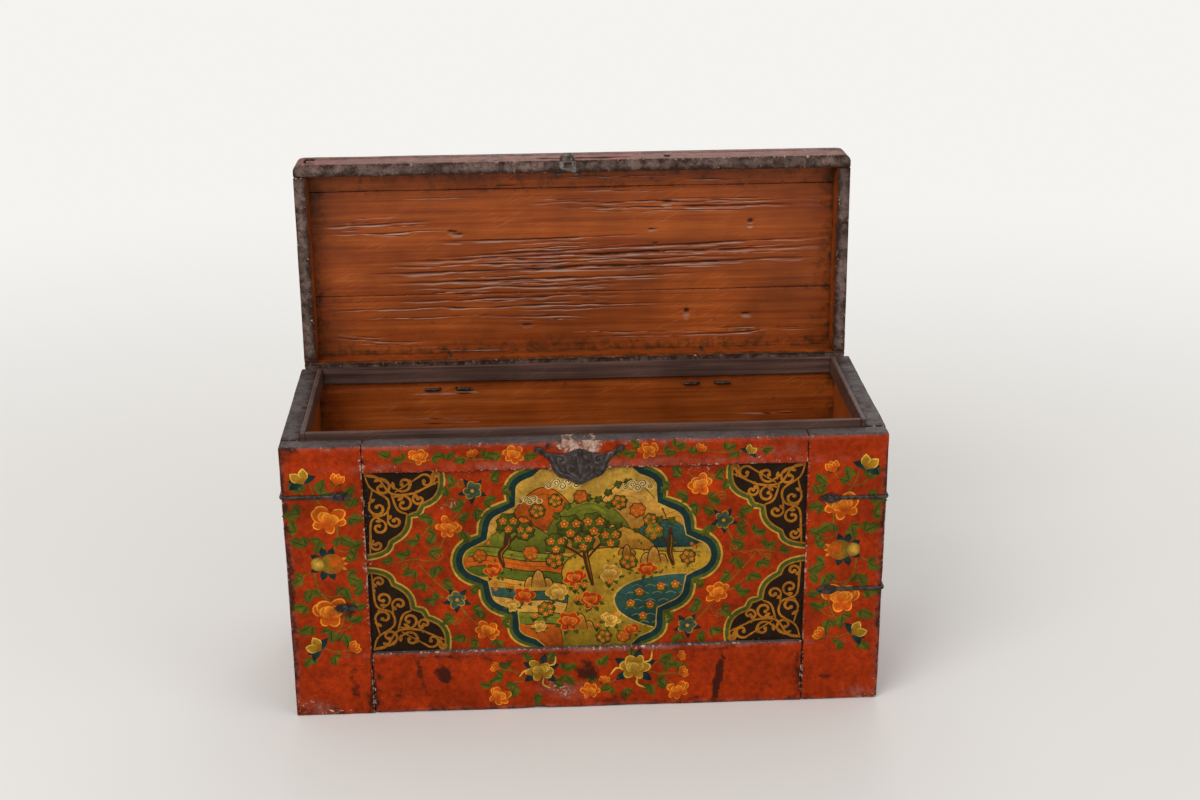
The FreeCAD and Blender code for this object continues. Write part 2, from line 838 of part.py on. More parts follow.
# Lid rails: front and back run through, the sides are tongued between them
lid_rail_z = (lid_mouth, lid_rail_top)
lid_side_centre = half_width - s.lid_wall / 2
lid_tongue_half = s.lid_tongue_thickness / 2
lid_tongue_reach = s.lid_tongue_length - s.tongue_slack
lid_nail_tip = lid_top - s.board_nail_length
hasp_leg_places = [(s.lock_shift + s.hasp_legs / 2 * leg, hasp_z) for leg in (-1, 1)]
bent_nail_x = -half_width * LID_BENT_NAIL_SHARE
bent_nail_z = (lid_mouth + lid_rail_top) / 2
front_nail_place = (half_width * LID_FRONT_NAIL_SHARE, bent_nail_z)
front_rail_nails = [(half_width * share, lid_front + s.lid_wall / 2) for share in LID_NAIL_SHARES]
back_rail_nails = [(half_width * share, lid_back - s.lid_back_wall / 2) for share in LID_NAIL_SHARES]
front_seam = lid_front + s.lid_front_board
back_seam = front_seam + s.lid_middle_board
side_nail_y = [front_seam + s.lid_middle_board * share for share in LID_SIDE_NAIL_SHARES]


def lid_side_nails(hand):
    return [(lid_side_centre * hand, y) for y in side_nail_y]


def round_lid_corners(body, to_front):
    fillet(
        body,
        lambda edge, outer: upright(edge)
        and same(edge.YMin, outer.YMin if to_front else outer.YMax)
        and (same(edge.XMax, outer.XMin) or same(edge.XMin, outer.XMax)),
        s.lid_corner,
    )


def make_lid_rail(label, y, groove_y, places, to_front):
    body = new_body(label, on_lid)
    block(body, both_ways(half_width), y, lid_rail_z)
    for hand in (-1, 1):
        slot(
            body,
            across(hand, lid_side_centre - lid_tongue_half, lid_side_centre + lid_tongue_half),
            groove_y,
            (lid_mouth - s.overrun, lid_rail_top + s.overrun),
        )
    rounds(body, "XY", places, nail_hole, (lid_nail_tip, lid_rail_top), cut=True)
    round_lid_corners(body, to_front)
    return body


lid_front_rail = make_lid_rail(
    "lid_front_rail",
    (lid_front, lid_front_inner),
    (lid_front_inner - s.lid_tongue_length, lid_front_inner + s.overrun),
    front_rail_nails,
    to_front=True,
)
hasp_hole = s.hasp_wire + s.nail_fit
rounds(lid_front_rail, "XZ", hasp_leg_places, hasp_hole, (lid_front, lid_front_inner), cut=True)
loose_nail_places = [front_nail_place, (bent_nail_x, bent_nail_z)]
loose_nail_end = lid_front + s.bent_nail_length
rounds(lid_front_rail, "XZ", loose_nail_places, nail_hole, (lid_front, loose_nail_end), cut=True)
lid_back_rail = make_lid_rail(
    "lid_back_rail",
    (lid_back_inner, lid_back),
    (lid_back_inner - s.overrun, lid_back_inner + s.lid_tongue_length),
    back_rail_nails,
    to_front=False,
)
eye_hole_places = [(x, eye_pin_z) for x in staple_x]
rounds(lid_back_rail, "XZ", eye_hole_places, s.eye_wire + s.nail_fit, (lid_back_inner, lid_back), cut=True)
for word, hand in (("left", -1), ("right", 1)):
    rail = new_body(f"lid_{word}_rail", on_lid)
    block(rail, across(hand, lid_side_inner, half_width), (lid_front_inner, lid_back_inner), lid_rail_z)
    block(
        rail,
        across(hand, lid_side_centre - lid_tongue_half, lid_side_centre + lid_tongue_half),
        (lid_front_inner - lid_tongue_reach, lid_back_inner + lid_tongue_reach),
        lid_rail_z,
    )
    rounds(rail, "XY", lid_side_nails(hand), nail_hole, (lid_nail_tip, lid_rail_top), cut=True)

# Lid boards: tongue and groove, nailed down on the rails
lid_board_z = (lid_rail_top, lid_top)
lid_board_middle = lid_top - s.lid_board_thickness / 2
lid_tongue_z = (lid_board_middle - lid_tongue_half, lid_board_middle + lid_tongue_half)


def make_lid_board(label, y, places, tongue_y=None):
    body = new_body(label, on_lid)
    block(body, both_ways(half_width), y, lid_board_z)
    if tongue_y:
        block(body, both_ways(half_width), tongue_y, lid_tongue_z)
    rounds(body, "XY", places, nail_hole, lid_board_z, cut=True)
    return body


def wear_lid_edge(body, seams):
    """Rounds the outer top edges, leaving the seams between boards square."""
    fillet(
        body,
        lambda edge, outer: same(edge.ZMin, outer.ZMax)
        and max(edge.XLength, edge.YLength) > s.nail_head.value
        and not any(same(edge.YMin, seam.value) and same(edge.YMax, seam.value) for seam in seams),
        s.lid_edge_wear,
    )


board = make_lid_board("lid_board_front", (lid_front, front_seam), front_rail_nails)
round_lid_corners(board, to_front=True)
wear_lid_edge(board, [front_seam])
groove_x = both_ways(half_width + s.overrun)
slot(board, groove_x, (front_seam - s.lid_tongue_length, front_seam + s.overrun), lid_tongue_z)
board = make_lid_board(
    "lid_board_middle",
    (front_seam, back_seam),
    lid_side_nails(-1) + lid_side_nails(1),
    (front_seam - lid_tongue_reach, back_seam + lid_tongue_reach),
)
wear_lid_edge(board, [front_seam, back_seam])
board = make_lid_board("lid_board_back", (back_seam, lid_back), back_rail_nails)
round_lid_corners(board, to_front=False)
wear_lid_edge(board, [back_seam])
slot(board, groove_x, (back_seam - s.overrun, back_seam + s.lid_tongue_length), lid_tongue_z)

nails(
    "lid_nails",
    [("XY", front_rail_nails + back_rail_nails + lid_side_nails(-1) + lid_side_nails(1), lid_top, 1)],
    s.board_nail_length,
    on_lid,
)
nails("lid_front_nail", [("XZ", [front_nail_place], lid_front, -1)], s.bent_nail_length, on_lid)
bent_nail = new_body("lid_bent_nail", on_lid)
bent_y = lid_front - s.bent_nail_stand
bent_end = bent_nail_x + s.bent_nail_length
route = [(bent_nail_x, loose_nail_end), (bent_nail_x, bent_y), (bent_end, bent_y)]
wire(bent_nail, "XY", bent_nail_z, route, s.staple_bend, s.nail_shank)

# Hasp: a staple in the lid's front rail and the tongue that hangs on it
hasp_staple = new_body("hasp_staple", on_lid)
tail_y = lid_front_inner + s.hasp_bend
left_leg, right_leg = (place[0] for place in hasp_leg_places)
route = [
    (left_leg - s.hasp_tail, tail_y),
    (left_leg, tail_y),
    (left_leg, hasp_y),
    (right_leg, hasp_y),
    (right_leg, tail_y),
    (right_leg + s.hasp_tail, tail_y),
]
wire(hasp_staple, "XY", hasp_z, route, s.hasp_bend, s.hasp_wire)

hasp = new_body("hasp_tongue", on_hasp)
bore = s.hasp_wire + s.hasp_clearance * 2
neck_half = s.hasp_neck_width / 2
plate_length = s.hasp_length - s.hasp_neck
flat = both_ways(s.hasp_thickness / 2)
rounds(hasp, "YZ", [(ZERO, ZERO)], bore + s.hasp_thickness * 2, both_ways(neck_half))
prism(hasp, "XZ", rectangle(both_ways(neck_half), (-s.hasp_neck - s.hasp_thickness, ZERO)), flat)
plate = [(s.hasp_width * (u / 2), -s.hasp_neck - plate_length * v) for u, v in HASP_CORNER_SHARES]
prism(hasp, "XZ", plate, flat)
rounds(hasp, "YZ", [(ZERO, ZERO)], bore, both_ways(neck_half + s.overrun), cut=True)
hole_half = s.hasp_hole / 2
hole_z = (-s.hasp_hole_drop - hole_half, -s.hasp_hole_drop + hole_half)
prism(hasp, "XZ", rectangle(both_ways(hole_half), hole_z), both_ways(s.hasp_thickness), cut=True)

# Every object has to be sound before anything is written
doc.recompute()
for item in doc.Objects:
    if "Invalid" in item.State or "Error" in item.State:
        raise RuntimeError(f"{item.Label} failed to build: {item.State}")
for body in bodies:
    if body.Shape.isNull() or not body.Shape.isValid():
        raise RuntimeError(f"{body.Label} has no sound shape")
os.makedirs("parts", exist_ok=True)
for body in bodies:
    body.Shape.exportStep(f"parts/{body.Label}.step")
print(len(bodies), "pieces written")
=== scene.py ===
# %% [markdown]
# # An old painted chest
# The CAD model of this chest already has its boards, hinges and iron fittings in their places.
# This lesson gives it its looks: old boards with worn edges and long splits, a painted front,
# forged iron, and the light and camera of the photo. Every piece stays where the CAD has it.

# %% Load the frame
import itertools
import json
import math
import random

import bpy
import numpy as np
from mathutils import Matrix, Vector
from mathutils.geometry import delaunay_2d_cdt


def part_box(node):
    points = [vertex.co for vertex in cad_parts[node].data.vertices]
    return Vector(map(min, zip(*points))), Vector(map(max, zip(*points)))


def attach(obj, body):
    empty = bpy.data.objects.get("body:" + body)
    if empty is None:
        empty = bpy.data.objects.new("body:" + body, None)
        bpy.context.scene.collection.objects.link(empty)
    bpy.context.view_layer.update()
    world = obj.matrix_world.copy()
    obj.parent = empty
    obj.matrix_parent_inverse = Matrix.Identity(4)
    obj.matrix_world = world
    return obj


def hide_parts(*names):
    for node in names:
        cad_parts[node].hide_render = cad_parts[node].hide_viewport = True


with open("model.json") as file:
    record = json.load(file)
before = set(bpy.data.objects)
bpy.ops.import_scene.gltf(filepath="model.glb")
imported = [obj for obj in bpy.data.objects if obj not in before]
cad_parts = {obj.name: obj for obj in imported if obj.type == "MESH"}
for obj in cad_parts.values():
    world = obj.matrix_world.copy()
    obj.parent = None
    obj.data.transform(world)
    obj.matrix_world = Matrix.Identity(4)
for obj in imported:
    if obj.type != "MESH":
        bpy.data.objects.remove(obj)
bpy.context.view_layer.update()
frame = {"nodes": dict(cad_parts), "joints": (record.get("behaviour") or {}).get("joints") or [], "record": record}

MM = 0.001
nodes = frame["nodes"]
print("CAD nodes:", len(nodes))

# %% [markdown]
# ## Camera
# The camera could be placed by eye, but the chest's straight edges give it away: its place, its three
# angles and its focal length were fitted to the corners of the chest in the 1200 x 800 photo.
# A focal length in pixels turns into a lens by the width of Blender's sensor.

# %% Camera at the photo's viewing angle
PHOTO_WIDTH = 1200
FOCAL_PIXELS = 1857
SENSOR_MM = 36
CAMERA_MM = Vector((-69.3, -1983.5, 1067.0))
PITCH, YAW, ROLL = (math.radians(angle) for angle in (20.51, 2.62, -0.49))
QUARTER_TURN = math.pi / 2

camera = bpy.data.objects.new("camera", bpy.data.cameras.new("camera"))
bpy.context.scene.collection.objects.link(camera)
camera.data.sensor_width = SENSOR_MM
camera.data.lens = FOCAL_PIXELS / PHOTO_WIDTH * SENSOR_MM
aim = Matrix.Rotation(-YAW, 4, "Z") @ Matrix.Rotation(QUARTER_TURN - PITCH, 4, "X")
camera.matrix_world = Matrix.Translation(CAMERA_MM * MM) @ aim @ Matrix.Rotation(ROLL, 4, "Z")
bpy.context.scene.camera = camera
print("lens:", round(camera.data.lens, 1), "mm")

# %% [markdown]
# ## Colours and nodes
# Colours are written as sRGB hex, the way a colour picker shows them, and one function turns them to
# the linear values that Blender works with. Materials are built from nodes, and one small function
# adds a node, sets it up and links it, so that a material reads as a list of steps.

# %% Colour and node helpers
def linear(hex_colour):
    """Linear red, green, blue and alpha of a colour such as #9B2D05."""
    parts = [int(hex_colour[i:i + 2], 16) / 255 for i in (1, 3, 5)]
    return tuple(c / 12.92 if c <= 0.04045 else ((c + 0.055) / 1.055) ** 2.4 for c in parts) + (1.0,)


def add(tree, kind, inputs, out=0, **settings):
    """Adds one shader node and gives back one of its outputs; an input that is a socket is linked."""
    made = tree.nodes.new("ShaderNode" + kind)
    for name, value in settings.items():
        setattr(made, name, value)
    for name, value in inputs.items():
        if isinstance(value, bpy.types.NodeSocket):
            tree.links.new(value, made.inputs[name])
        else:
            made.inputs[name].default_value = value
    return made.outputs[out] if made.outputs else None


def new_material(name):
    material = bpy.data.materials.new(name)
    material.use_nodes = True
    tree = material.node_tree
    shader = tree.nodes["Principled BSDF"]
    return material, tree, shader


def per_metre(size_mm):
    """Texture scale at which one repeat is about this many millimetres."""
    return 1 / (size_mm * MM)


print("red lacquer in linear colour:", [round(c, 3) for c in linear("#9B2D05")])

# %% [markdown]
# ## Light
# The chest stands in soft daylight. A white sky could do it all, but wide lamps, the strongest of them
# from the upper left, keep the shadows under the rim. The camera sees a white background, and so do
# reflections, while the light that reaches the chest stays at a plain level.

# %% White sky
SKY_STRENGTH = 0.55
WHITE = (1.0, 1.0, 1.0, 1.0)
BACKGROUND = "#F4F3F0"

world = bpy.data.worlds.new("white_studio")
bpy.context.scene.world = world
world.use_nodes = True
tree = world.node_tree
tree.nodes.clear()


def seen_rays(tree):
    """1 for rays that show the background: from the camera, off gloss and through glass."""
    seen = add(tree, "LightPath", {}, "Is Camera Ray")
    for kind in ("Is Glossy Ray", "Is Transmission Ray"):
        seen = add(tree, "Math", {0: seen, 1: add(tree, "LightPath", {}, kind)}, operation="MAXIMUM")
    return seen


lit = add(tree, "Background", {"Color": WHITE, "Strength": SKY_STRENGTH})
shown = add(tree, "Background", {"Color": linear(BACKGROUND), "Strength": 1.0})
mixed = add(tree, "MixShader", {0: seen_rays(tree), 1: lit, 2: shown})
add(tree, "OutputWorld", {"Surface": mixed})
print("sky strength:", SKY_STRENGTH)

# %% Three lamps
CHEST_MIDDLE = Vector((0.0, 0.0, 0.3))
# each lamp: name, place and size in metres, watts
LAMPS = (
    ("key_lamp", (-1.6, -2.2, 2.6), 2.0, 54),
    ("fill_lamp", (2.4, -1.8, 1.4), 2.0, 15),
    ("back_lamp", (0.3, 2.6, 2.2), 1.8, 24),
)

for name, stand, size, watts in LAMPS:
    lamp = bpy.data.objects.new(name, bpy.data.lights.new(name, "AREA"))
    lamp.data.size = size
    lamp.data.energy = watts
    lamp.location = stand
    lamp.rotation_euler = (CHEST_MIDDLE - Vector(stand)).to_track_quat("-Z", "Y").to_euler()
    bpy.context.scene.collection.objects.link(lamp)
print("lamps:", len(LAMPS))

# %% [markdown]
# ## Floor
# A matt white floor catches the shadow of the chest. A backdrop with a round sweep could hide the
# horizon, but one flat face is enough if it turns into the background colour away from the chest.
# It is only a stage and is not part of the chest.

# %% Studio floor
FADE_START_M, FADE_END_M = 0.6, 2.4
FLOOR_HALF_M = 8.0
FLOOR_DROP_MM = 0.4

floor_mesh = bpy.data.meshes.new("studio_floor")
corners = [(-1, -1), (1, -1), (1, 1), (-1, 1)]
floor_mesh.from_pydata(
    [(x * FLOOR_HALF_M, y * FLOOR_HALF_M, -FLOOR_DROP_MM * MM) for x, y in corners], [], [(0, 1, 2, 3)]
)
studio_floor = bpy.data.objects.new("studio_floor", floor_mesh)
bpy.context.scene.collection.objects.link(studio_floor)
material, tree, shader = new_material("matt_white_floor_paint")
shader.inputs["Base Color"].default_value = linear("#E9E6E1")
shader.inputs["Roughness"].default_value = 0.9
# away from the chest and its shadow the floor fades into the background
far = add(tree, "VectorMath", {0: add(tree, "TexCoord", {}, "Object")}, "Value", operation="LENGTH")
far = add(tree, "MapRange", {0: far, 1: FADE_START_M, 2: FADE_END_M}, interpolation_type="SMOOTHSTEP")
far = add(tree, "Math", {0: far, 1: seen_rays(tree)}, operation="MULTIPLY")
shown = add(tree, "Emission", {"Color": linear(BACKGROUND), "Strength": 1.0})
mixed = add(tree, "MixShader", {0: far, 1: shader.outputs[0], 2: shown})
tree.links.new(mixed, tree.nodes["Material Output"].inputs["Surface"])
floor_mesh.materials.append(material)
bpy.context.scene.view_settings.view_transform = "Standard"
print("studio floor:", 2 * FLOOR_HALF_M, "m wide")

# %% [markdown]
# ## Noise in the mesh
# Wear on old wood has no straight lines, so the boards need a smooth random field. Blender's modifiers
# could displace them, but then nothing else could follow the same surface. A small noise function in
# numpy can be asked for its value anywhere, by a board and by the paint that lies on it.

# %% Smooth noise
HASH_STEPS = np.array([73856093, 19349663, 83492791])
HASH_MASK = 0x7FFFFFFF
HASH_ROUNDS = ((13, 1274126177), (15, 1911520717))
SEED_STEP = 31.7
FRONT_DIP_MM = 0.14
FRONT_WAVE_MM = 0.06
FRONT_WAVE_SIZE_MM = 60


def noise(points, size, seed=0):
    """Smooth noise from -1 to 1 at 3-D points in mm; size is that of its bumps, one or three numbers."""
    spots = np.asarray(points, float) / np.asarray(size, float) + seed * SEED_STEP
    cells = np.floor(spots).astype(np.int64)
    parts = spots - cells
    ease = parts * parts * (3 - 2 * parts)
    total = np.zeros(len(spots))
    for corner in itertools.product((0, 1), repeat=3):
        mixed_up = ((cells + corner) * HASH_STEPS).sum(1) & HASH_MASK
        for shift, factor in HASH_ROUNDS:
            mixed_up = ((mixed_up ^ (mixed_up >> shift)) * factor) & HASH_MASK
        share = np.prod(np.where(corner, ease, 1 - ease), axis=1)
        total += share * (mixed_up / HASH_MASK * 2 - 1)
    return total


def on_front(x, z):
    """Points of the front plane, for the noise function."""
    return np.column_stack([x, np.zeros(len(x)), z])


def front_dip(x, z):
    """How far the old front has sunk or been scraped, in mm, over the whole front."""
    return FRONT_DIP_MM + FRONT_WAVE_MM * noise(on_front(x, z), FRONT_WAVE_SIZE_MM, 3)


print("front dip at the middle:", front_dip(np.zeros(1), np.zeros(1)).round(3))

# %% [markdown]
# ## Boards
# Each board is a box whose sides are cut into a fine lattice. A plain cube with a bevel could stand in,
# but old edges are rubbed round by a different amount along their length, and flat sides are planed by
# hand. So every lattice point is pulled in by noise, and the edges are rounded by a varying radius.
# Each point also remembers how near an edge it is, which the materials use to put wear there.

# %% Lattice box
END_SHARES = np.array((0.0, 0.12, 0.3, 0.6))


def lattice_lines(low, high, step, edge):
    """Places along one side: evenly spaced, with a few close together at both ends for round edges."""
    count = max(2, round((high - low - 2 * edge) / step) + 1)
    inner = np.linspace(low + edge, high - edge, count)
    ends = END_SHARES * edge
    return np.concatenate([low + ends, inner, (high - ends)[::-1]])


def box_shell(lines):
    """Points and outward quads of the six sides of a lattice box."""
    count = [len(places) for places in lines]
    sides = []
    for axis in range(3):
        u, v = (axis + 1) % 3, (axis + 2) % 3
        i, j = (grid.ravel() for grid in np.meshgrid(np.arange(count[u] - 1), np.arange(count[v] - 1)))
        for last in (False, True):
            ring = np.zeros((len(i), 4, 3), int)
            ring[:, :, axis] = count[axis] - 1 if last else 0
            for corner, (du, dv) in enumerate(((0, 0), (1, 0), (1, 1), (0, 1))):
                ring[:, corner, u] = i + du
                ring[:, corner, v] = j + dv
            sides.append(ring if last else ring[:, ::-1])
    quads = np.concatenate(sides)
    keys = np.ravel_multi_index(quads.reshape(-1, 3).T, count)
    used, index = np.unique(keys, return_inverse=True)
    spots = np.unravel_index(used, count)
    points = np.column_stack([lines[axis][spots[axis]] for axis in range(3)])
    return points, index.reshape(-1, 4)


print("a box of 2 x 2 x 2 cells has", len(box_shell([np.arange(3.0)] * 3)[1]), "outer quads")

# %% Worn board
ROUND_EDGE_SHARE = 0.3
LEAST_RADIUS_MM = 0.3
NEAR_EDGE_MM = 5


def worn_box(low, high, steps, seed, radius=1.6, rough=0.25, dip=None):
    """Points, quads, edge nearness and normals of a board between two corners, in mm."""
    low, high = np.array(low, float), np.array(high, float)
    edge = min(3 * radius, (high - low).min() * ROUND_EDGE_SHARE)
    points, quads = box_shell([lattice_lines(low[a], high[a], steps[a], edge) for a in range(3)])
    to_sides = np.sort(np.minimum(points - low, high - points), axis=1)
    nearness = np.exp(-to_sides[:, 1] / NEAR_EDGE_MM)
    # edges are rubbed round in waves of about 60 mm and 14 mm, and chipped every 22 mm or so
    worn = radius * (1 + 0.5 * noise(points, 60, seed) + 0.35 * noise(points, 14, seed + 1))
    chipped = np.clip(noise(points, 22, seed + 2) - 0.55, 0, 1) * 4 * radius
    round_by = np.clip(worn + chipped, LEAST_RADIUS_MM, edge)[:, None]
    core = np.clip(points, low + round_by, high - round_by)
    off = points - core
    length = np.linalg.norm(off, axis=1, keepdims=True)
    normals = off / np.maximum(length, 1e-9)
    depth = rough * (0.5 + 0.5 * noise(points, 40, seed + 3))
    if dip is not None:
        depth = dip(points, normals, depth)
    points = core + normals * round_by - normals * depth[:, None]
    return points, quads, nearness, normals


points = worn_box((0, 0, 0), (100, 20, 40), (8, 8, 8), 1)[0]
print("a trial board has", len(points), "points")

# %% [markdown]
# ## From points to pieces
# A mesh made of numbers becomes a Blender object here. It rides on the CAD body that it belongs to,
# takes the place of its CAD node, and carries its colour and wear as attributes on its points.

# %% Piece maker
swing = next(joint for joint in frame["joints"] if joint["name"] == "lid_swing")
LID_OPEN = math.radians(swing["range_deg"][1])
lid_to_row = Matrix.Translation(Vector(swing["pos_m"]) / MM) @ Matrix.Rotation(-LID_OPEN, 4, "X")
ROW = Matrix.Identity(4)


def place(points, frame_matrix):
    matrix = np.array(frame_matrix)
    return points @ matrix[:3, :3].T + matrix[:3, 3]


def make_piece(name, points, faces, material, body, slot, replaced=(), smooth=True, paint=None, **values):
    """One mesh object in the row frame, from points in mm; values are one number per point."""
    mesh = bpy.data.meshes.new(name)
    mesh.from_pydata((points * MM).tolist(), [], [tuple(face) for face in faces])
    mesh.materials.append(material)
    if paint is not None:
        layer = mesh.color_attributes.new("paint", "FLOAT_COLOR", "POINT")
        colours = np.broadcast_to(np.asarray(paint, np.float32), (len(points), 4))
        layer.data.foreach_set("color", np.ascontiguousarray(colours).ravel())
    for key, numbers in values.items():
        layer = mesh.attributes.new(key, "FLOAT", "POINT")
        layer.data.foreach_set("value", np.asarray(numbers, np.float32))
    if smooth:
        mesh.shade_smooth()
    piece = bpy.data.objects.new(name, mesh)
    bpy.context.scene.collection.objects.link(piece)
    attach(piece, body)
    if replaced:
        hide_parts(*replaced)
    return piece


def row_box(node):
    low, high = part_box(node)
    return np.array(low) / MM, np.array(high) / MM


def lid_box(node):
    """Corners of a lid node in the closed lid's own frame, whose origin is on the hinge axis."""
    spots = np.array([vertex.co for vertex in nodes[node].data.vertices]) / MM
    spots = place(spots, lid_to_row.inverted())
    return spots.min(0), spots.max(0)


print("lid front rail in the lid frame:", [corner.round(1).tolist() for corner in lid_box("lid_front_rail")])

# %% [markdown]
# ## Painted lacquer
# The front is wood with a thin white ground, red lacquer and distemper colours under a brown varnish.
# An image could hold the painting, but the paint is real geometry here: its colour is stored on the
# points, and this one finish adds what age did. Grime and painted shade darken it, chips show the
# pale ground, fine cracks run through it, and the varnish gives it a satin gloss that is duller
# where it is worn.

# %% Lacquer and paint under varnish
LACQUER_SPECULAR = 0.07
# uneven coats of lacquer and varnish: size of the clouds in mm, detail, darkest, lightest
COAT_CLOUDS = ((38, 4.0, 0.68, 1.2), (6, 5.0, 0.72, 1.18), (2, 3.0, 0.84, 1.14))
CRACK_DARK = linear("#2A130A")
GRIME_AND_SHADE_BROWN = linear("#29150D")


def make_lacquer(name, worn_colour, ground_colour):
    material, tree, shader = new_material(name)
    spot = add(tree, "TexCoord", {}, "Object")
    colour = add(tree, "Attribute", {}, "Color", attribute_name="paint")
    edge, chip, grime = (
        add(tree, "Attribute", {}, "Fac", attribute_name=kind) for kind in ("edge", "chip", "grime")
    )
    for size_mm, detail, darkest, lightest in COAT_CLOUDS:
        clouds = add(tree, "TexNoise", {"Vector": spot, "Scale": per_metre(size_mm), "Detail": detail})
        clouds = add(tree, "MapRange", {0: clouds, 1: 0.3, 2: 0.7, 3: darkest, 4: lightest})
        colour = add(tree, "Mix", {0: 1.0, 6: colour, 7: clouds}, 2, data_type="RGBA", blend_type="MULTIPLY")
    # hair cracks in the paint, in cells of about 11 mm, only here and there
    bend = add(tree, "TexNoise", {"Vector": spot, "Scale": per_metre(8), "Detail": 2.0}, "Color")
    bent = add(tree, "Mix", {0: 0.004, 4: spot, 5: bend}, 1, data_type="VECTOR")
    hair = add(tree, "TexVoronoi", {"Vector": bent, "Scale": per_metre(11)}, feature="DISTANCE_TO_EDGE")
    hair = add(tree, "MapRange", {0: hair, 1: 0.0, 2: 0.03, 3: 0.5, 4: 0.0})
    where = add(tree, "TexNoise", {"Vector": spot, "Scale": per_metre(40), "Detail": 2.0})
    where = add(tree, "MapRange", {0: where, 1: 0.5, 2: 0.62})
    hair = add(tree, "Math", {0: hair, 1: where}, operation="MULTIPLY")
    colour = add(tree, "Mix", {0: hair, 6: colour, 7: CRACK_DARK}, 2, data_type="RGBA")
    # grime lies in patches of about 13 mm and along the edges;
    # each point adds its own grime and painted shade
    inputs = {"Vector": spot, "Scale": per_metre(13), "Detail": 6.0, "Roughness": 0.7}
    patchy = add(tree, "TexNoise", inputs)
    dirt_and_shade = add(tree, "Math", {0: edge, 1: 0.22, 2: grime}, operation="MULTIPLY_ADD")
    dirt_and_shade = add(tree, "Math", {0: dirt_and_shade, 1: patchy}, operation="ADD")
    dirt_and_shade = add(tree, "MapRange", {0: dirt_and_shade, 1: 0.66, 2: 0.98, 3: 0.0, 4: 0.9}, interpolation_type="SMOOTHSTEP")
    colour = add(tree, "Mix", {0: dirt_and_shade, 6: colour, 7: GRIME_AND_SHADE_BROWN}, 2, data_type="RGBA")
    # chips of about 4 mm go through to the ground coat, more of them at the edges
    inputs = {"Vector": spot, "Scale": per_metre(4), "Detail": 5.0, "Roughness": 0.7}
    flakes = add(tree, "TexNoise", inputs)
    loss = add(tree, "Math", {0: edge, 1: 0.13, 2: chip}, operation="MULTIPLY_ADD")
    loss = add(tree, "Math", {0: loss, 1: flakes}, operation="ADD")
    loss = add(tree, "MapRange", {0: loss, 1: 0.72, 2: 0.75})
    bare = add(tree, "TexNoise", {"Vector": spot, "Scale": per_metre(5), "Detail": 4.0})
    bare = add(tree, "MapRange", {0: bare, 1: 0.3, 2: 0.68})
    bare = add(tree, "Mix", {0: bare, 6: worn_colour, 7: ground_colour}, 2, data_type="RGBA")
    colour = add(tree, "Mix", {0: loss, 6: colour, 7: bare}, 2, data_type="RGBA")
    tree.links.new(colour, shader.inputs["Base Color"])
    gloss = add(tree, "MapRange", {0: patchy, 1: 0.3, 2: 0.7, 3: 0.38, 4: 0.55})
    gloss = add(tree, "Math", {0: loss, 1: 0.3, 2: gloss}, operation="MULTIPLY_ADD")
    tree.links.new(gloss, shader.inputs["Roughness"])
    shader.inputs["Specular IOR Level"].default_value = LACQUER_SPECULAR
    height = add(tree, "TexNoise", {"Vector": spot, "Scale": per_metre(3), "Detail": 6.0})
    height = add(tree, "Math", {0: loss, 1: -1.2, 2: height}, operation="MULTIPLY_ADD")
    height = add(tree, "Math", {0: height, 1: hair}, operation="SUBTRACT")
    bump = add(tree, "Bump", {"Height": height, "Distance": 0.0002, "Strength": 0.8})
    tree.links.new(bump, shader.inputs["Normal"])
    return material


painted_lacquer = make_lacquer("distemper_and_lacquer_under_varnish", linear("#7A4632"), linear("#CDB29E"))
print("made", painted_lacquer.name)

# %% [markdown]
# ## Old pine
# Inside, the boards are bare pine that was planed by hand and has turned orange-brown under oil and
# smoke. A wood image would repeat, so the grain is noise drawn out along the board. The splits are in
# the mesh itself, and each point says how deep it lies in one, so that splits are darkened by painted
# shade and the lips beside them get a pale painted highlight.

# %% Pine with grain, plane marks and splits
GRAIN_LENGTH_MM = 190
GRAIN_WIDTH_MM = 5
FIBRE_LENGTH_MM = 60
FIBRE_WIDTH_MM = 1.1
PLANE_MARK_TILT = math.radians(24)
PLANE_MARK_LENGTH_MM = 34
PLANE_MARK_WIDTH_MM = 1.0
PINE_SPECULAR = 0.25
SPLIT_SHADE = linear("#1D0D07")
LIP_HIGHLIGHT_PALE = linear("#B39686")


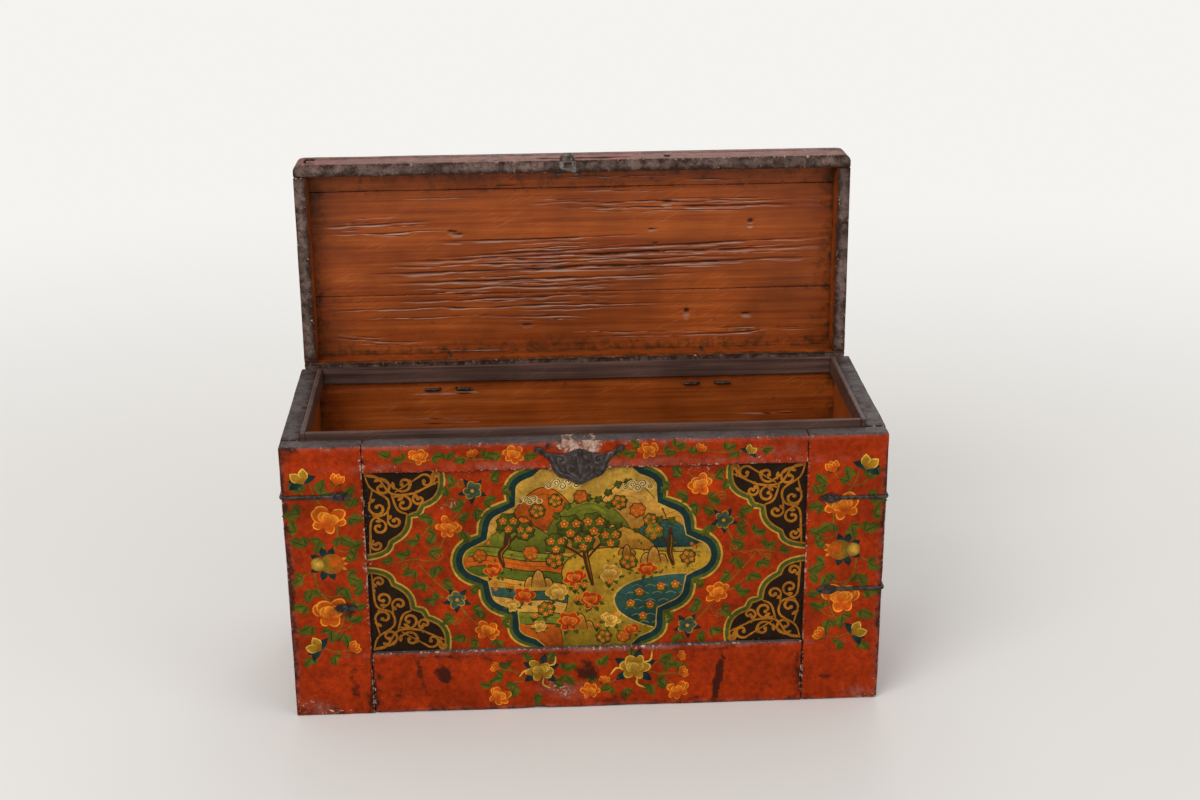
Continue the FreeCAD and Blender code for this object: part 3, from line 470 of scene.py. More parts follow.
def make_pine(name, dark, middle, light, scratched, grimy_and_shaded, roughness):
    material, tree, shader = new_material(name)
    spot = add(tree, "TexCoord", {}, "Object")
    edge, split, grime = (
        add(tree, "Attribute", {}, "Fac", attribute_name=kind) for kind in ("edge", "split", "grime")
    )
    # grain is noise drawn out along the board: broad bands and fine fibres
    grains = []
    for width_mm, length_mm, detail in (
        (GRAIN_WIDTH_MM, GRAIN_LENGTH_MM, 4.0), (FIBRE_WIDTH_MM, FIBRE_LENGTH_MM, 3.0)
    ):
        scale = (per_metre(length_mm), per_metre(width_mm), per_metre(width_mm))
        drawn_out = add(tree, "Mapping", {"Vector": spot, "Scale": scale})
        grains.append(add(tree, "TexNoise", {"Vector": drawn_out, "Scale": 1.0, "Detail": detail}))
    grain, fibre = grains
    colour = add(tree, "ValToRGB", {"Fac": grain})
    stops = colour.node.color_ramp.elements
    stops[0].position = 0.3
    stops[0].color = dark
    stops[1].position = 0.7
    stops[1].color = light
    stops.new(0.5).color = middle
    broad = add(tree, "TexNoise", {"Vector": spot, "Scale": per_metre(80), "Detail": 3.0})
    for value, darkest, lightest in ((fibre, 0.86, 1.08), (broad, 0.7, 1.2)):
        value = add(tree, "MapRange", {0: value, 1: 0.32, 2: 0.68, 3: darkest, 4: lightest})
        colour = add(tree, "Mix", {0: 1.0, 6: colour, 7: value}, 2, data_type="RGBA", blend_type="MULTIPLY")
    # slanting marks of the plane, about a millimetre wide, here and there
    slanted = add(tree, "Mapping", {"Vector": spot, "Rotation": (0.0, PLANE_MARK_TILT, 0.0)})
    along = per_metre(PLANE_MARK_LENGTH_MM)
    scale = (along, along, per_metre(PLANE_MARK_WIDTH_MM))
    slanted = add(tree, "Mapping", {"Vector": slanted, "Scale": scale})
    marks = add(tree, "TexNoise", {"Vector": slanted, "Scale": 1.0, "Detail": 2.0})
    marks = add(tree, "MapRange", {0: marks, 1: 0.6, 2: 0.7, 3: 0.0, 4: 0.55})
    where = add(tree, "MapRange", {0: broad, 1: 0.46, 2: 0.62})
    marks = add(tree, "Math", {0: marks, 1: where}, operation="MULTIPLY")
    colour = add(tree, "Mix", {0: marks, 6: colour, 7: scratched}, 2, data_type="RGBA")
    # stains and grime gather along the edges and in spots of about 12 mm;
    # each point adds its own grime and painted shade
    inputs = {"Vector": spot, "Scale": per_metre(12), "Detail": 6.0, "Roughness": 0.72}
    dirt_and_shade = add(tree, "TexNoise", inputs)
    dirt_and_shade = add(tree, "Math", {0: edge, 1: 0.12, 2: dirt_and_shade}, operation="MULTIPLY_ADD")
    dirt_and_shade = add(tree, "Math", {0: dirt_and_shade, 1: grime}, operation="ADD")
    dirt_and_shade = add(tree, "MapRange", {0: dirt_and_shade, 1: 0.64, 2: 0.98, 3: 0.0, 4: 0.9}, interpolation_type="SMOOTHSTEP")
    colour = add(tree, "Mix", {0: dirt_and_shade, 6: colour, 7: grimy_and_shaded}, 2, data_type="RGBA")
    # splits are darkened by painted shade, and the lips beside them get a pale painted highlight
    deep = add(tree, "MapRange", {0: split, 1: 0.12, 2: 0.6, 3: 0.0, 4: 0.96})
    colour = add(tree, "Mix", {0: deep, 6: colour, 7: SPLIT_SHADE}, 2, data_type="RGBA")
    lip_highlight = add(tree, "MapRange", {0: split, 1: -0.06, 2: -0.4, 3: 0.0, 4: 0.8})
    lightened = add(tree, "MapRange", {0: fibre, 1: 0.42, 2: 0.58})
    lip_highlight = add(tree, "Math", {0: lip_highlight, 1: lightened}, operation="MULTIPLY")
    colour = add(tree, "Mix", {0: lip_highlight, 6: colour, 7: LIP_HIGHLIGHT_PALE}, 2, data_type="RGBA")
    tree.links.new(colour, shader.inputs["Base Color"])
    gloss = add(tree, "MapRange", {0: grain, 1: 0.3, 2: 0.7, 3: roughness, 4: roughness + 0.15})
    tree.links.new(gloss, shader.inputs["Roughness"])
    shader.inputs["Specular IOR Level"].default_value = PINE_SPECULAR
    height = add(tree, "Math", {0: fibre, 1: 0.5, 2: grain}, operation="MULTIPLY_ADD")
    bump = add(tree, "Bump", {"Height": height, "Distance": 0.0004, "Strength": 0.6})
    tree.links.new(bump, shader.inputs["Normal"])
    return material


# tones of each pine: dark, middle and light grain, plane marks, grime and painted shade
OILED_TONES = [linear(tone) for tone in ("#86390E", "#984613", "#A8531A", "#C07A44", "#33200C")]
FLOOR_TONES = [linear(tone) for tone in ("#5B3113", "#7E4A20", "#99632F", "#99632F", "#2B1A0E")]
RIM_TONES = [linear(tone) for tone in ("#3D2923", "#543B32", "#694E44", "#80665A", "#20120E")]
oiled_pine = make_pine("hand_planed_pine_under_oil", *OILED_TONES, roughness=0.4)
floor_pine = make_pine("rough_sawn_pine", *FLOOR_TONES, roughness=0.6)
rim_pine = make_pine("pine_darkened_by_handling", *RIM_TONES, roughness=0.42)
print("made three kinds of old pine")

# %% [markdown]
# ## Forged iron
# The fittings were hammered out of bar and wire, and they are black with age, brown with rust in the
# hollows and rubbed grey on the high spots. Iron is a metal, so its base colour is its reflection;
# rust is not, so it also takes the metallic value down where it lies.

# %% Iron with rust and rubbed spots
def make_iron(name, dark, light, rusty):
    material, tree, shader = new_material(name)
    spot = add(tree, "TexCoord", {}, "Object")
    # hammer marks are about 6 mm across, and rust sits in spots of about 3 mm
    hammer = add(tree, "TexNoise", {"Vector": spot, "Scale": per_metre(6), "Detail": 3.0})
    inputs = {"Vector": spot, "Scale": per_metre(3), "Detail": 6.0, "Roughness": 0.7}
    rust = add(tree, "TexNoise", inputs)
    rust = add(tree, "MapRange", {0: rust, 1: 0.46, 2: 0.66})
    lightened = add(tree, "MapRange", {0: hammer, 1: 0.42, 2: 0.72})
    # raised ridges are lighter, as rubbed iron and as a painted highlight that picks out the relief; hollows keep
    # more rust
    ridge = add(tree, "Attribute", {}, "Fac", attribute_name="ridge")
    lightened = add(tree, "Math", {0: lightened, 1: ridge}, operation="ADD", use_clamp=True)
    rust = add(tree, "Math", {0: rust, 1: ridge}, operation="SUBTRACT", use_clamp=True)
    colour = add(tree, "Mix", {0: lightened, 6: dark, 7: light}, 2, data_type="RGBA")
    colour = add(tree, "Mix", {0: rust, 6: colour, 7: rusty}, 2, data_type="RGBA")
    tree.links.new(colour, shader.inputs["Base Color"])
    metal = add(tree, "MapRange", {0: rust, 3: 0.85, 4: 0.2})
    tree.links.new(metal, shader.inputs["Metallic"])
    gloss = add(tree, "MapRange", {0: hammer, 1: 0.3, 2: 0.7, 3: 0.6, 4: 0.4})
    tree.links.new(gloss, shader.inputs["Roughness"])
    height = add(tree, "Math", {0: rust, 1: 0.3, 2: hammer}, operation="MULTIPLY_ADD")
    bump = add(tree, "Bump", {"Height": height, "Distance": 0.0005, "Strength": 0.8})
    tree.links.new(bump, shader.inputs["Normal"])
    return material


# tones of each iron: dark, rubbed light that is also the painted highlight on ridges, rust
AGED_TONES = [linear(tone) for tone in ("#2C2522", "#5C5450", "#33231B")]
WEATHERED_TONES = [linear(tone) for tone in ("#4A4440", "#857C74", "#54402F")]
forged_iron = make_iron("forged_iron_black_with_age", *AGED_TONES)
weathered_iron = make_iron("forged_iron_grey_from_weather", *WEATHERED_TONES)
IRON_SLOT = "wrought_iron"
iron_nodes = [part["node"] for part in frame["record"]["subparts"] if part["material_slot"] == IRON_SLOT]
for name in iron_nodes:
    nodes[name].data.materials.clear()
    nodes[name].data.materials.append(weathered_iron if name.startswith("hasp") else forged_iron)
print("iron nodes:", len(iron_nodes))

# %% [markdown]
# ## Where the front is worn
# Wear on the front isn't even: hands, keys and knocks took the paint off in certain places. Each place
# is a soft oval with a strength, and the boards and the painting on them read the same ovals, so that a
# bare patch goes through the flowers and the red ground alike.

# %% Worn, grimy and shaded places
# each place: x, z, half width, half height, tilt in degrees, strength
CHIPPED_PLACES = [
    (-140, 284, 26, 8, 0, 0.12), (118, 284, 24, 12, 0, 0.13), (126, 268, 16, 9, 20, 0.1),
    (-6, 319, 27, 8, 0, 0.3), (-30, 305, 24, 8, 0, 0.12), (185, 308, 14, 10, 0, 0.11),
    (-30, 24, 22, 11, -20, 0.21), (-8, 30, 10, 14, 0, 0.13), (30, 32, 12, 10, 0, 0.1),
    (-215, 300, 22, 4, 0, 0.11), (215, 300, 22, 4, 0, 0.1), (0, 75, 240, 4, 0, 0.08),
    (0, 294, 240, 4, 0, 0.085), (-240, 184, 7, 110, 0, 0.12), (240, 184, 6, 110, 0, 0.09),
    (-316, 14, 18, 14, 0, 0.13), (318, 12, 14, 14, 0, 0.11), (-290, 5, 30, 5, 0, 0.14),
    (-331, 160, 3, 160, 0, 0.09), (331, 160, 3, 160, 0, 0.09), (-206, 100, 30, 30, 0, 0.07),
    (-150, 252, 14, 5, 0, 0.16), (20, 172, 60, 40, 0, 0.03), (-242, 300, 2.5, 30, 0, 0.13),
    (242, 300, 2.5, 30, 0, 0.1), (-242, 36, 2.5, 36, 0, 0.11), (242, 36, 2.5, 36, 0, 0.08),
    (0, 324, 330, 3, 0, 0.05),
]
# grimy places, and one of painted shade: the thin band at z 293 under the top rail's lower edge
GRIMY_AND_SHADED_PLACES = [
    (-164, 49, 10, 15, 25, 0.6), (147, 33, 5, 32, -9, 0.6), (-2, 42, 13, 18, 10, 0.45),
    (-36, 316, 12, 9, 0, 0.24), (28, 312, 12, 10, 0, 0.2), (-268, 131, 11, 11, 0, 0.34),
    (-300, 8, 40, 10, 0, 0.22), (0, 6, 330, 7, 0, 0.18), (-236, 30, 5, 40, 0, 0.22),
    (236, 30, 5, 40, 0, 0.22), (-328, 160, 7, 170, 0, 0.3), (328, 160, 6, 170, 0, 0.26),
    (-322, 318, 16, 8, 0, 0.34), (-262, 42, 8, 22, 8, 0.3), (-190, 54, 4, 16, 10, 0.34),
    (-214, 20, 10, 14, 0, 0.26), (-110, 60, 26, 6, 0, 0.24), (30, 10, 60, 8, 0, 0.22),
    (200, 20, 22, 10, 0, 0.24), (180, 40, 30, 20, 0, 0.12), (205, 100, 14, 20, 0, 0.1),
    (-242, 36, 3, 40, 0, 0.4), (-246, 18, 8, 18, 0, 0.3), (-188, 40, 5, 24, 14, 0.3),
    (242, 36, 2, 40, 0, 0.34), (270, 30, 10, 5, 0, 0.36), (0, 293, 244, 2, 0, 0.3),
    (-250, 309, 40, 4, 0, 0.2), (-100, 69, 140, 4, 0, 0.24), (120, 69, 120, 3, 0, 0.2),
]
# edges and patches that are rubbed down to a dull pink; along the top rail's lower edge the
# pink is also painted light bounced up from the floor
PINKISH_PLACES = [
    (0, 298, 244, 6, 0, 0.8), (0, 74, 244, 4, 0, 0.9), (-327, 160, 4, 170, 0, 0.75),
    (327, 160, 4, 170, 0, 0.75), (-312, 8, 26, 11, 0, 0.85), (312, 6, 26, 9, 0, 0.85),
    (0, 1, 330, 4, 0, 0.7), (0, 324, 330, 4, 0, 0.9), (-8, 318, 26, 8, 0, 1.0),
    (-30, 24, 30, 12, -16, 0.95), (205, 310, 30, 8, 0, 0.5),
]


def worn_amount(x, z, places):
    """Strength of the strongest oval at each place of the front; ovals have ragged outlines."""
    total = np.zeros(len(x))
    spots = on_front(x, z)
    ragged = 0.55 * noise(spots, 9, 4) + 0.4 * noise(spots, 3.5, 8)
    for middle_x, middle_z, half_x, half_z, tilt, strength in places:
        turn = math.radians(tilt)
        along = (x - middle_x) * math.cos(turn) + (z - middle_z) * math.sin(turn)
        across = (z - middle_z) * math.cos(turn) - (x - middle_x) * math.sin(turn)
        reach = np.maximum((along / half_x) ** 2 + (across / half_z) ** 2 + ragged, 0)
        total = np.maximum(total, strength * np.exp(-reach ** 2))
    return total


print("worn places:", len(CHIPPED_PLACES), "grimy places:", len(GRIMY_AND_SHADED_PLACES))

# %% [markdown]
# ## The front frame and its panel
# Two stiles and two rails hold a thin panel that lies five millimetres back. Their tenons and grooves
# are hidden, so the visible boards simply meet. Their faces follow the same dip everywhere, so that
# the paint can lie on them, and their colour is the red lacquer that the painting was made on. The top
# edge was never painted: it is grey-brown from hands.

# %% Sizes and colours of the front
RED = np.array(linear("#9C2E04"))
WORN_AND_LIT_PINK = np.array(linear("#9A5646"))
BARE_BROWN = np.array(linear("#6B3612"))
WORN_RED = np.array(linear("#6E2A14"))
RIM_BROWN = np.array(linear("#584D4B"))
UP = (0, 0, 1)
stile_low, stile_high = row_box("front_left_stile")
right_stile_low, right_stile_high = row_box("front_right_stile")
panel_low, panel_high = row_box("front_panel")
FRONT_Y = stile_low[1]
FRONT_INNER_Y = stile_high[1]
PANEL_Y = panel_low[1]
PANEL_HALF = -stile_high[0]
PANEL_BOTTOM = row_box("front_bottom_rail")[1][2]
PANEL_TOP = row_box("front_top_rail")[0][2]
RIM_Z = stile_high[2]
HALF_WIDTH = -stile_low[0]
FRONT_STEPS = (3.0, 5.0, 3.0)
FRONT_EDGE_RADIUS = 2.6
FACING = 0.7


def painted_dip(points, normals, depth):
    """Front faces follow the shared dip, the other sides keep their own roughness."""
    return np.where(normals[:, 1] < -FACING, front_dip(points[:, 0], points[:, 2]), depth)


def rim_paint(colour, normals, rim, bare=RIM_BROWN):
    """Colour per point: bare grey-brown where the board looks towards the rim, paint elsewhere."""
    share = np.clip((normals @ np.array(rim) - 0.35) / 0.4, 0, 1)[:, None]
    return colour * (1 - share) + bare * share


def rubbed_and_lit_red(x, z):
    """Red lacquer per point, dull pink in worn bands, which on the top rail's lower edge is also painted bounced
    light.
    """
    spots = on_front(x, z)
    patchy = np.clip(0.6 + 0.9 * noise(spots, 13, 5) + 0.6 * noise(spots, 5, 6), 0, 1)
    share = (worn_amount(x, z, PINKISH_PLACES) * patchy)[:, None]
    return RED * (1 - share) + WORN_AND_LIT_PINK * share


print("panel opening:", round(2 * PANEL_HALF), "x", round(PANEL_TOP - PANEL_BOTTOM), "mm")

# %% Front boards
RIM_BAND_MM = 12
JOINT_START_MM = 3
front_boards = {
    "front_left_stile": (stile_low, stile_high),
    "front_right_stile": (right_stile_low, right_stile_high),
    "front_top_rail": ((-PANEL_HALF, FRONT_Y, PANEL_TOP), (PANEL_HALF, FRONT_INNER_Y, RIM_Z)),
    "front_bottom_rail": ((-PANEL_HALF, FRONT_Y, 0), (PANEL_HALF, FRONT_INNER_Y, PANEL_BOTTOM)),
    "front_panel": (panel_low, panel_high),
}
for seed, (name, (low, high)) in enumerate(front_boards.items(), start=10):
    points, quads, nearness, normals = worn_box(
        low, high, FRONT_STEPS, seed, FRONT_EDGE_RADIUS, dip=painted_dip
    )
    x, z = points[:, 0], points[:, 2]
    at_rim = np.clip(normals[:, 2], 0, 1) * (z > RIM_Z - RIM_BAND_MM)
    colour = RED if name == "front_panel" else rubbed_and_lit_red(x, z)
    colour = np.where(normals[:, 1:2] > 0.5, BARE_BROWN, colour)
    in_joint = (np.abs(normals[:, :1]) > 0.75) & (points[:, 1:2] > FRONT_Y + JOINT_START_MM)
    colour = np.where(in_joint, WORN_RED, colour)
    make_piece(
        name + "_wood", points, quads, painted_lacquer, "chest", "painted_front", [name],
        paint=rim_paint(colour, normals, UP), edge=nearness,
        chip=worn_amount(x, z, CHIPPED_PLACES) - 0.05 * at_rim, grime=worn_amount(x, z, GRIMY_AND_SHADED_PLACES),
    )
print("front boards:", len(front_boards))

# %% [markdown]
# ## Splits along the grain
# Old pine opens along its grain. A bump map would not show in the outline of a board or in a low light,
# so each split is a groove in the mesh: it wanders a little, tapers at both ends, and lifts one lip.

# %% Splits as grooves
COMPANIONS = 3


def split_relief(along, across, splits):
    """Depth in mm and split value of points, from splits of (across, start, end, slope, depth, width)."""
    depth = np.zeros(len(along))
    value = np.zeros(len(along))
    for number, (middle, start, end, slope, deep, width) in enumerate(splits):
        run = np.clip((along - start) / (end - start), 0, 1)
        taper = np.sqrt(np.clip(np.sin(run * math.pi), 0, 1))
        spots = np.column_stack([along, np.full(len(along), number * 53.0), np.zeros(len(along))])
        wander = 1.5 * noise(spots, 45, number) + 0.6 * noise(spots, 12, number)
        line = middle + slope * (along - start) + wander
        wide = width * (0.6 + 0.45 * noise(spots, 18, number + 9))
        groove = np.exp(-((across - line) / wide) ** 2) * taper
        lip = np.exp(-((across - line - 2.1 * wide) / (1.5 * wide)) ** 2) * taper
        depth = np.maximum(depth, deep * groove) - 0.3 * deep * lip * (1 - groove)
        value = value + groove - 0.7 * lip * (1 - groove)
    return depth, np.clip(value, -1, 1)


def with_companions(splits, seed):
    """Each main split with a few fine ones beside it, as torn fibres have."""
    draw = random.Random(seed)
    torn = list(splits)
    for middle, start, end, slope, deep, width in splits:
        for _ in range(COMPANIONS):
            length = draw.uniform(0.15, 0.45) * (end - start)
            first = draw.uniform(start, end - length)
            beside = middle + slope * (first - start) + draw.choice((-1, 1)) * draw.uniform(2.5, 6.5)
            torn.append((beside, first, first + length, slope, deep * 0.5, width * 0.5))
    return torn


def random_splits(seed, low, high, start, end, count):
    """Splits of mixed length spread over a board."""
    draw = random.Random(seed)
    splits = []
    for _ in range(count):
        length = draw.uniform(0.08, 0.35) * (end - start)
        first = draw.uniform(start, end - length)
        across = draw.uniform(low, high)
        slope = draw.uniform(-0.012, 0.02)
        splits.append((across, first, first + length, slope, draw.uniform(0.4, 1.0), draw.uniform(0.4, 0.8)))
    return splits


across = np.linspace(-5, 5, 101)
trial = split_relief(np.zeros(101), across, [(0, -50, 50, 0, 2, 1)])[0]
print("a trial split is", trial.max().round(2), "mm deep")

# %% [markdown]
# ## Ends, back, floor and lip
# The ends and the back are two boards each, with dark worn lacquer outside and bare pine inside, so a
# board gets two materials by the way that its faces look. The floor is three rough boards. The lip is
# four thin dark strips that stand above the rim and keep the lid in place.

# %% Wall maker
BACK_Y = row_box("back_upper_board")[1][1]
BACK_INNER_Y = row_box("back_upper_board")[0][1]
BACK_SEAM_Z = row_box("back_upper_board")[0][2]
END_SEAM_Z = row_box("left_end_upper_board")[0][2]
END_INNER = -row_box("left_end_upper_board")[1][0]
LID_RED = np.array(linear("#7C3A2A"))
LACQUER_SLOT = "worn_lacquer"
CORNER_GRIME_AND_SHADE_MM = 22
FADED_RED = np.array(linear("#7C5644"))
NOWHERE = np.zeros(3)
STREAK_LENGTH_MM, STREAK_WIDTH_MM = 90, 11


def corner_grime(points, low, high):
    """Grime and painted shade inside a box, where its walls meet: 1 in a corner line, less away from it."""
    inset = np.minimum(np.abs(points - low), np.abs(high - points))
    return np.exp(-np.sort(inset, axis=1)[:, 1] / CORNER_GRIME_AND_SHADE_MM)


def make_wall(name, corners, outward, seed, splits, across_axis, steps, hollow, body="chest", to_row=ROW,
              colour=WORN_RED, rim=NOWHERE, bare=RIM_BROWN, cracks=(), shape=None):
    """Wall board: bare pine with splits on its inner side, worn lacquer with cracks on its other sides."""
    grain_axis = 0 if outward[0] == 0 else 1

    def dip(points, normals, depth):
        facing = normals @ np.array(outward)
        for side, lines in ((facing < -FACING, splits), (facing > FACING, cracks)):
            grooves = split_relief(points[:, grain_axis], points[:, across_axis], lines)[0]
            depth = np.where(side, depth + np.maximum(grooves, -0.2), depth)
        return depth

    points, quads, nearness, normals = worn_box(*corners, steps, seed, dip=dip)
    value = split_relief(points[:, grain_axis], points[:, across_axis], splits)[1]
    cracked = split_relief(points[:, grain_axis], points[:, across_axis], cracks)[1]
    cracked = np.where(normals @ np.array(outward) > FACING, np.clip(cracked, 0, 1), 0)
    points = shape(points) if shape else points
    at_rim = np.clip(normals @ np.array(rim), 0, 1)
    streaks = np.where(np.arange(3) == grain_axis, STREAK_LENGTH_MM, STREAK_WIDTH_MM)
    faded = 0.16 + 0.3 * noise(points, streaks, seed + 5) + 0.24 * noise(points, 7, seed + 6)
    faded = np.clip(faded, 0, 0.6)[:, None]
    # the inner corners are darkened by grime and painted shade, and the hasp cracks by painted shade
    grime = 0.02 + 0.29 * corner_grime(points, *hollow) + 0.9 * cracked
    piece = make_piece(
        name + "_wood", place(points, to_row), quads, oiled_pine, body, LACQUER_SLOT, [name],
        paint=rim_paint(colour * (1 - faded) + FADED_RED * faded, normals, rim, bare),
        edge=nearness, split=value, chip=0.03 - 0.015 * at_rim, grime=grime,
    )
    inward = to_row.to_3x3() @ -Vector(outward)
    piece.data.materials.append(painted_lacquer)
    for face in piece.data.polygons:
        if face.normal.dot(inward) < 0.5:
            face.material_index = 1


print("grime in the corners reaches about", CORNER_GRIME_AND_SHADE_MM, "mm")

# %% Back and ends
SPLIT_MARGIN_MM = 6
BACK_SPLITS, END_SPLITS = 11, 4
BACK_STEPS = (8.0, 3.0, 1.6)
END_STEPS = (6.0, 6.0, 1.6)
FLOOR_TOP = row_box("floor_board_front")[1][2]
CHEST_HOLLOW = (
    np.array((-END_INNER, FRONT_INNER_Y, FLOOR_TOP)), np.array((END_INNER, BACK_INNER_Y, RIM_Z))
)
back_boards = {"back_lower_board": (0, BACK_SEAM_Z), "back_upper_board": (BACK_SEAM_Z, RIM_Z)}
for seed, (name, (low_z, high_z)) in enumerate(back_boards.items(), start=30):
    corners = ((-HALF_WIDTH, BACK_INNER_Y, low_z), (HALF_WIDTH, BACK_Y, high_z))
    height_range = (low_z + SPLIT_MARGIN_MM, high_z - SPLIT_MARGIN_MM)
    splits = random_splits(seed, *height_range, -END_INNER, END_INNER, BACK_SPLITS)
    rim = UP if high_z == RIM_Z else NOWHERE
    make_wall(name, corners, (0, 1, 0), seed, splits, 2, BACK_STEPS, CHEST_HOLLOW, rim=rim)
end_boards = {"lower": (0, END_SEAM_Z), "upper": (END_SEAM_Z, RIM_Z)}
for hand, side in ((-1, "left"), (1, "right")):
    for seed, (height, (low_z, high_z)) in enumerate(end_boards.items(), start=40 + 5 * hand):
        height_range = (low_z + SPLIT_MARGIN_MM, high_z - SPLIT_MARGIN_MM)
        splits = random_splits(seed, *height_range, FRONT_INNER_Y, BACK_INNER_Y, END_SPLITS)
        x = sorted((END_INNER * hand, HALF_WIDTH * hand))
        corners = ((x[0], FRONT_INNER_Y, low_z), (x[1], BACK_INNER_Y, high_z))
        rim = UP if high_z == RIM_Z else NOWHERE
        name = f"{side}_end_{height}_board"
        make_wall(name, corners, (hand, 0, 0), seed, splits, 2, END_STEPS, CHEST_HOLLOW, rim=rim)
print("boards of the back and the ends:", len(back_boards) + 2 * len(end_boards))

# %% Floor boards and lip
FLOOR_STEPS = (8.0, 4.0, 5.0)
LIP_STEPS = (5.0, 5.0, 2.5)
LIP_RADIUS_MM = 1.0
# the floor is darker towards the inner corners, by grime and painted shade
for seed, name in enumerate(("floor_board_front", "floor_board_middle", "floor_board_back"), start=50):
    points, quads, nearness = worn_box(*row_box(name), FLOOR_STEPS, seed)[:3]
    make_piece(
        name + "_wood", points, quads, floor_pine, "chest", "old_pine", [name],
        edge=nearness, split=np.zeros(len(points)), grime=0.3 * corner_grime(points, *CHEST_HOLLOW),
    )
for seed, name in enumerate(("rim_lip_front", "rim_lip_back", "rim_lip_left", "rim_lip_right"), start=60):
    points, quads, nearness = worn_box(*row_box(name), LIP_STEPS, seed, LIP_RADIUS_MM)[:3]
    make_piece(
        name + "_wood", points, quads, rim_pine, "chest", "rim_wood", [name],
        edge=nearness, split=np.zeros(len(points)), grime=np.zeros(len(points)),
    )
print("the lip stands up to", row_box("rim_lip_front")[1][2].round(1), "mm")

# %% [markdown]
# ## The lid
# The lid is a shallow box of four rails under three boards. Its inside is what the photo shows best:
# long splits that run the length of the boards. The main ones are listed, and small random
# ones fill in between. The boards are made in the closed lid's own frame and then turned open.

# %% Sizes of the lid
lid_front_low, lid_front_high = lid_box("lid_front_rail")
lid_back_low, lid_back_high = lid_box("lid_back_rail")
front_board_low, front_board_high = lid_box("lid_board_front")
back_board_low, back_board_high = lid_box("lid_board_back")
LID_SIDE_INNER = -lid_box("lid_left_rail")[1][0]
MOUTH_Z = lid_front_low[2]
LID_RAIL_TOP = lid_front_high[2]
LID_TOP = front_board_high[2]
LID_HOLLOW = (
    np.array((-LID_SIDE_INNER, lid_front_high[1], MOUTH_Z)),
    np.array((LID_SIDE_INNER, lid_back_low[1], LID_RAIL_TOP)),
)
DOWN = (0, 0, -1)
print("hollow of the lid:", (LID_HOLLOW[1] - LID_HOLLOW[0]).round(1).tolist(), "mm")

# %% Splits and gouges of the lid
# each split: distance from the hinge axis, start and end along the board, slope, depth, width
LID_SPLITS = [
    (-203, -60, 305, 0.004, 1.6, 1.0), (-197, -20, 310, 0.006, 2.0, 1.2),
    (-180, -300, -170, -0.02, 1.4, 1.0), (-170, -290, -150, -0.01, 1.2, 0.9),
    (-158, -170, 80, -0.01, 1.5, 1.1), (-141, -120, 310, -0.03, 2.2, 1.4),
    (-134, -215, 312, -0.02, 2.6, 1.8), (-127, -230, 200, -0.015, 1.8, 1.2),
    (-118, -255, 300, -0.02, 2.4, 1.6), (-106, -230, 150, -0.016, 2.0, 1.3),
    (-99, -200, 60, -0.01, 1.5, 1.1), (-84, -215, 60, -0.012, 1.8, 1.2), (-74, -300, 110, -0.004, 1.5, 1.0),
    (-62, -120, 20, 0.01, 1.0, 0.9), (-40, -300, -180, 0.08, 1.0, 0.9), (-33, 120, 300, -0.03, 1.0, 0.9),
]
# short gouges, written in the same way
LID_GOUGES = [
    (-172, -152, -141, 0.1, 1.4, 2.2), (-166, -148, -134, -0.1, 1.6, 2.0),
    (-158, -160, -136, 0.05, 1.8, 1.8), (-168, 92, 100, 0.0, 1.4, 2.4), (-152, 94, 104, 0.1, 1.4, 2.2),
    (-202, 106, 120, 0.0, 1.6, 3.0), (-136, -84, -58, 0.1, 1.6, 2.4), (-52, -66, -52, 0.0, 1.2, 2.0),
    (-66, 136, 141, 0.0, 1.8, 5.0), (-60, 206, 216, 0.0, 1.4, 2.6), (-176, 212, 220, 0.0, 1.2, 3.0),
]
print("splits and gouges of the lid:", len(LID_SPLITS) + len(LID_GOUGES))

# %% Lid boards
LID_CORNER_MM = 8
LID_SPLIT_REACH_MM = 310
LID_SPLIT_MARGIN_MM = 4
LID_SMALL_SPLITS = 5
LID_BOARD_STEPS = (5.5, 0.8, 5.0)
LID_PLAN_LOW = np.array((-HALF_WIDTH, front_board_low[1]))
LID_PLAN_HIGH = np.array((HALF_WIDTH, back_board_high[1]))


def round_lid(points):
    """Pulls the upright corners of the lid in to their radius."""
    middle, half = (LID_PLAN_LOW + LID_PLAN_HIGH) / 2, (LID_PLAN_HIGH - LID_PLAN_LOW) / 2
    off = points[:, :2] - middle
    out = np.maximum(np.abs(off) - half + LID_CORNER_MM, 0)
    share = out.max(1) / np.maximum(np.linalg.norm(out, axis=1), 1e-9)
    flat = np.minimum(np.abs(off), half - LID_CORNER_MM) + out * share[:, None]
    return np.column_stack([middle + np.sign(off) * flat, points[:, 2]])


lid_boards = {
    "lid_board_front": (front_board_low[1], front_board_high[1]),
    "lid_board_middle": (front_board_high[1], back_board_low[1]),
    "lid_board_back": (back_board_low[1], back_board_high[1]),
}
for seed, (name, (low_y, high_y)) in enumerate(lid_boards.items(), start=70):
    inside = [split for split in LID_SPLITS if low_y < split[0] < high_y]
    splits = with_companions(inside, seed) + [gouge for gouge in LID_GOUGES if low_y < gouge[0] < high_y]
    depth_range = (low_y + LID_SPLIT_MARGIN_MM, high_y - LID_SPLIT_MARGIN_MM)
    splits += random_splits(seed, *depth_range, -LID_SPLIT_REACH_MM, LID_SPLIT_REACH_MM, LID_SMALL_SPLITS)
    corners = ((-HALF_WIDTH, low_y, LID_RAIL_TOP), (HALF_WIDTH, high_y, LID_TOP))
    make_wall(
        name, corners, UP, seed, splits, 1, LID_BOARD_STEPS, LID_HOLLOW, "lid", lid_to_row, LID_RED,
        shape=round_lid,
    )
print("lid boards:", len(lid_boards))

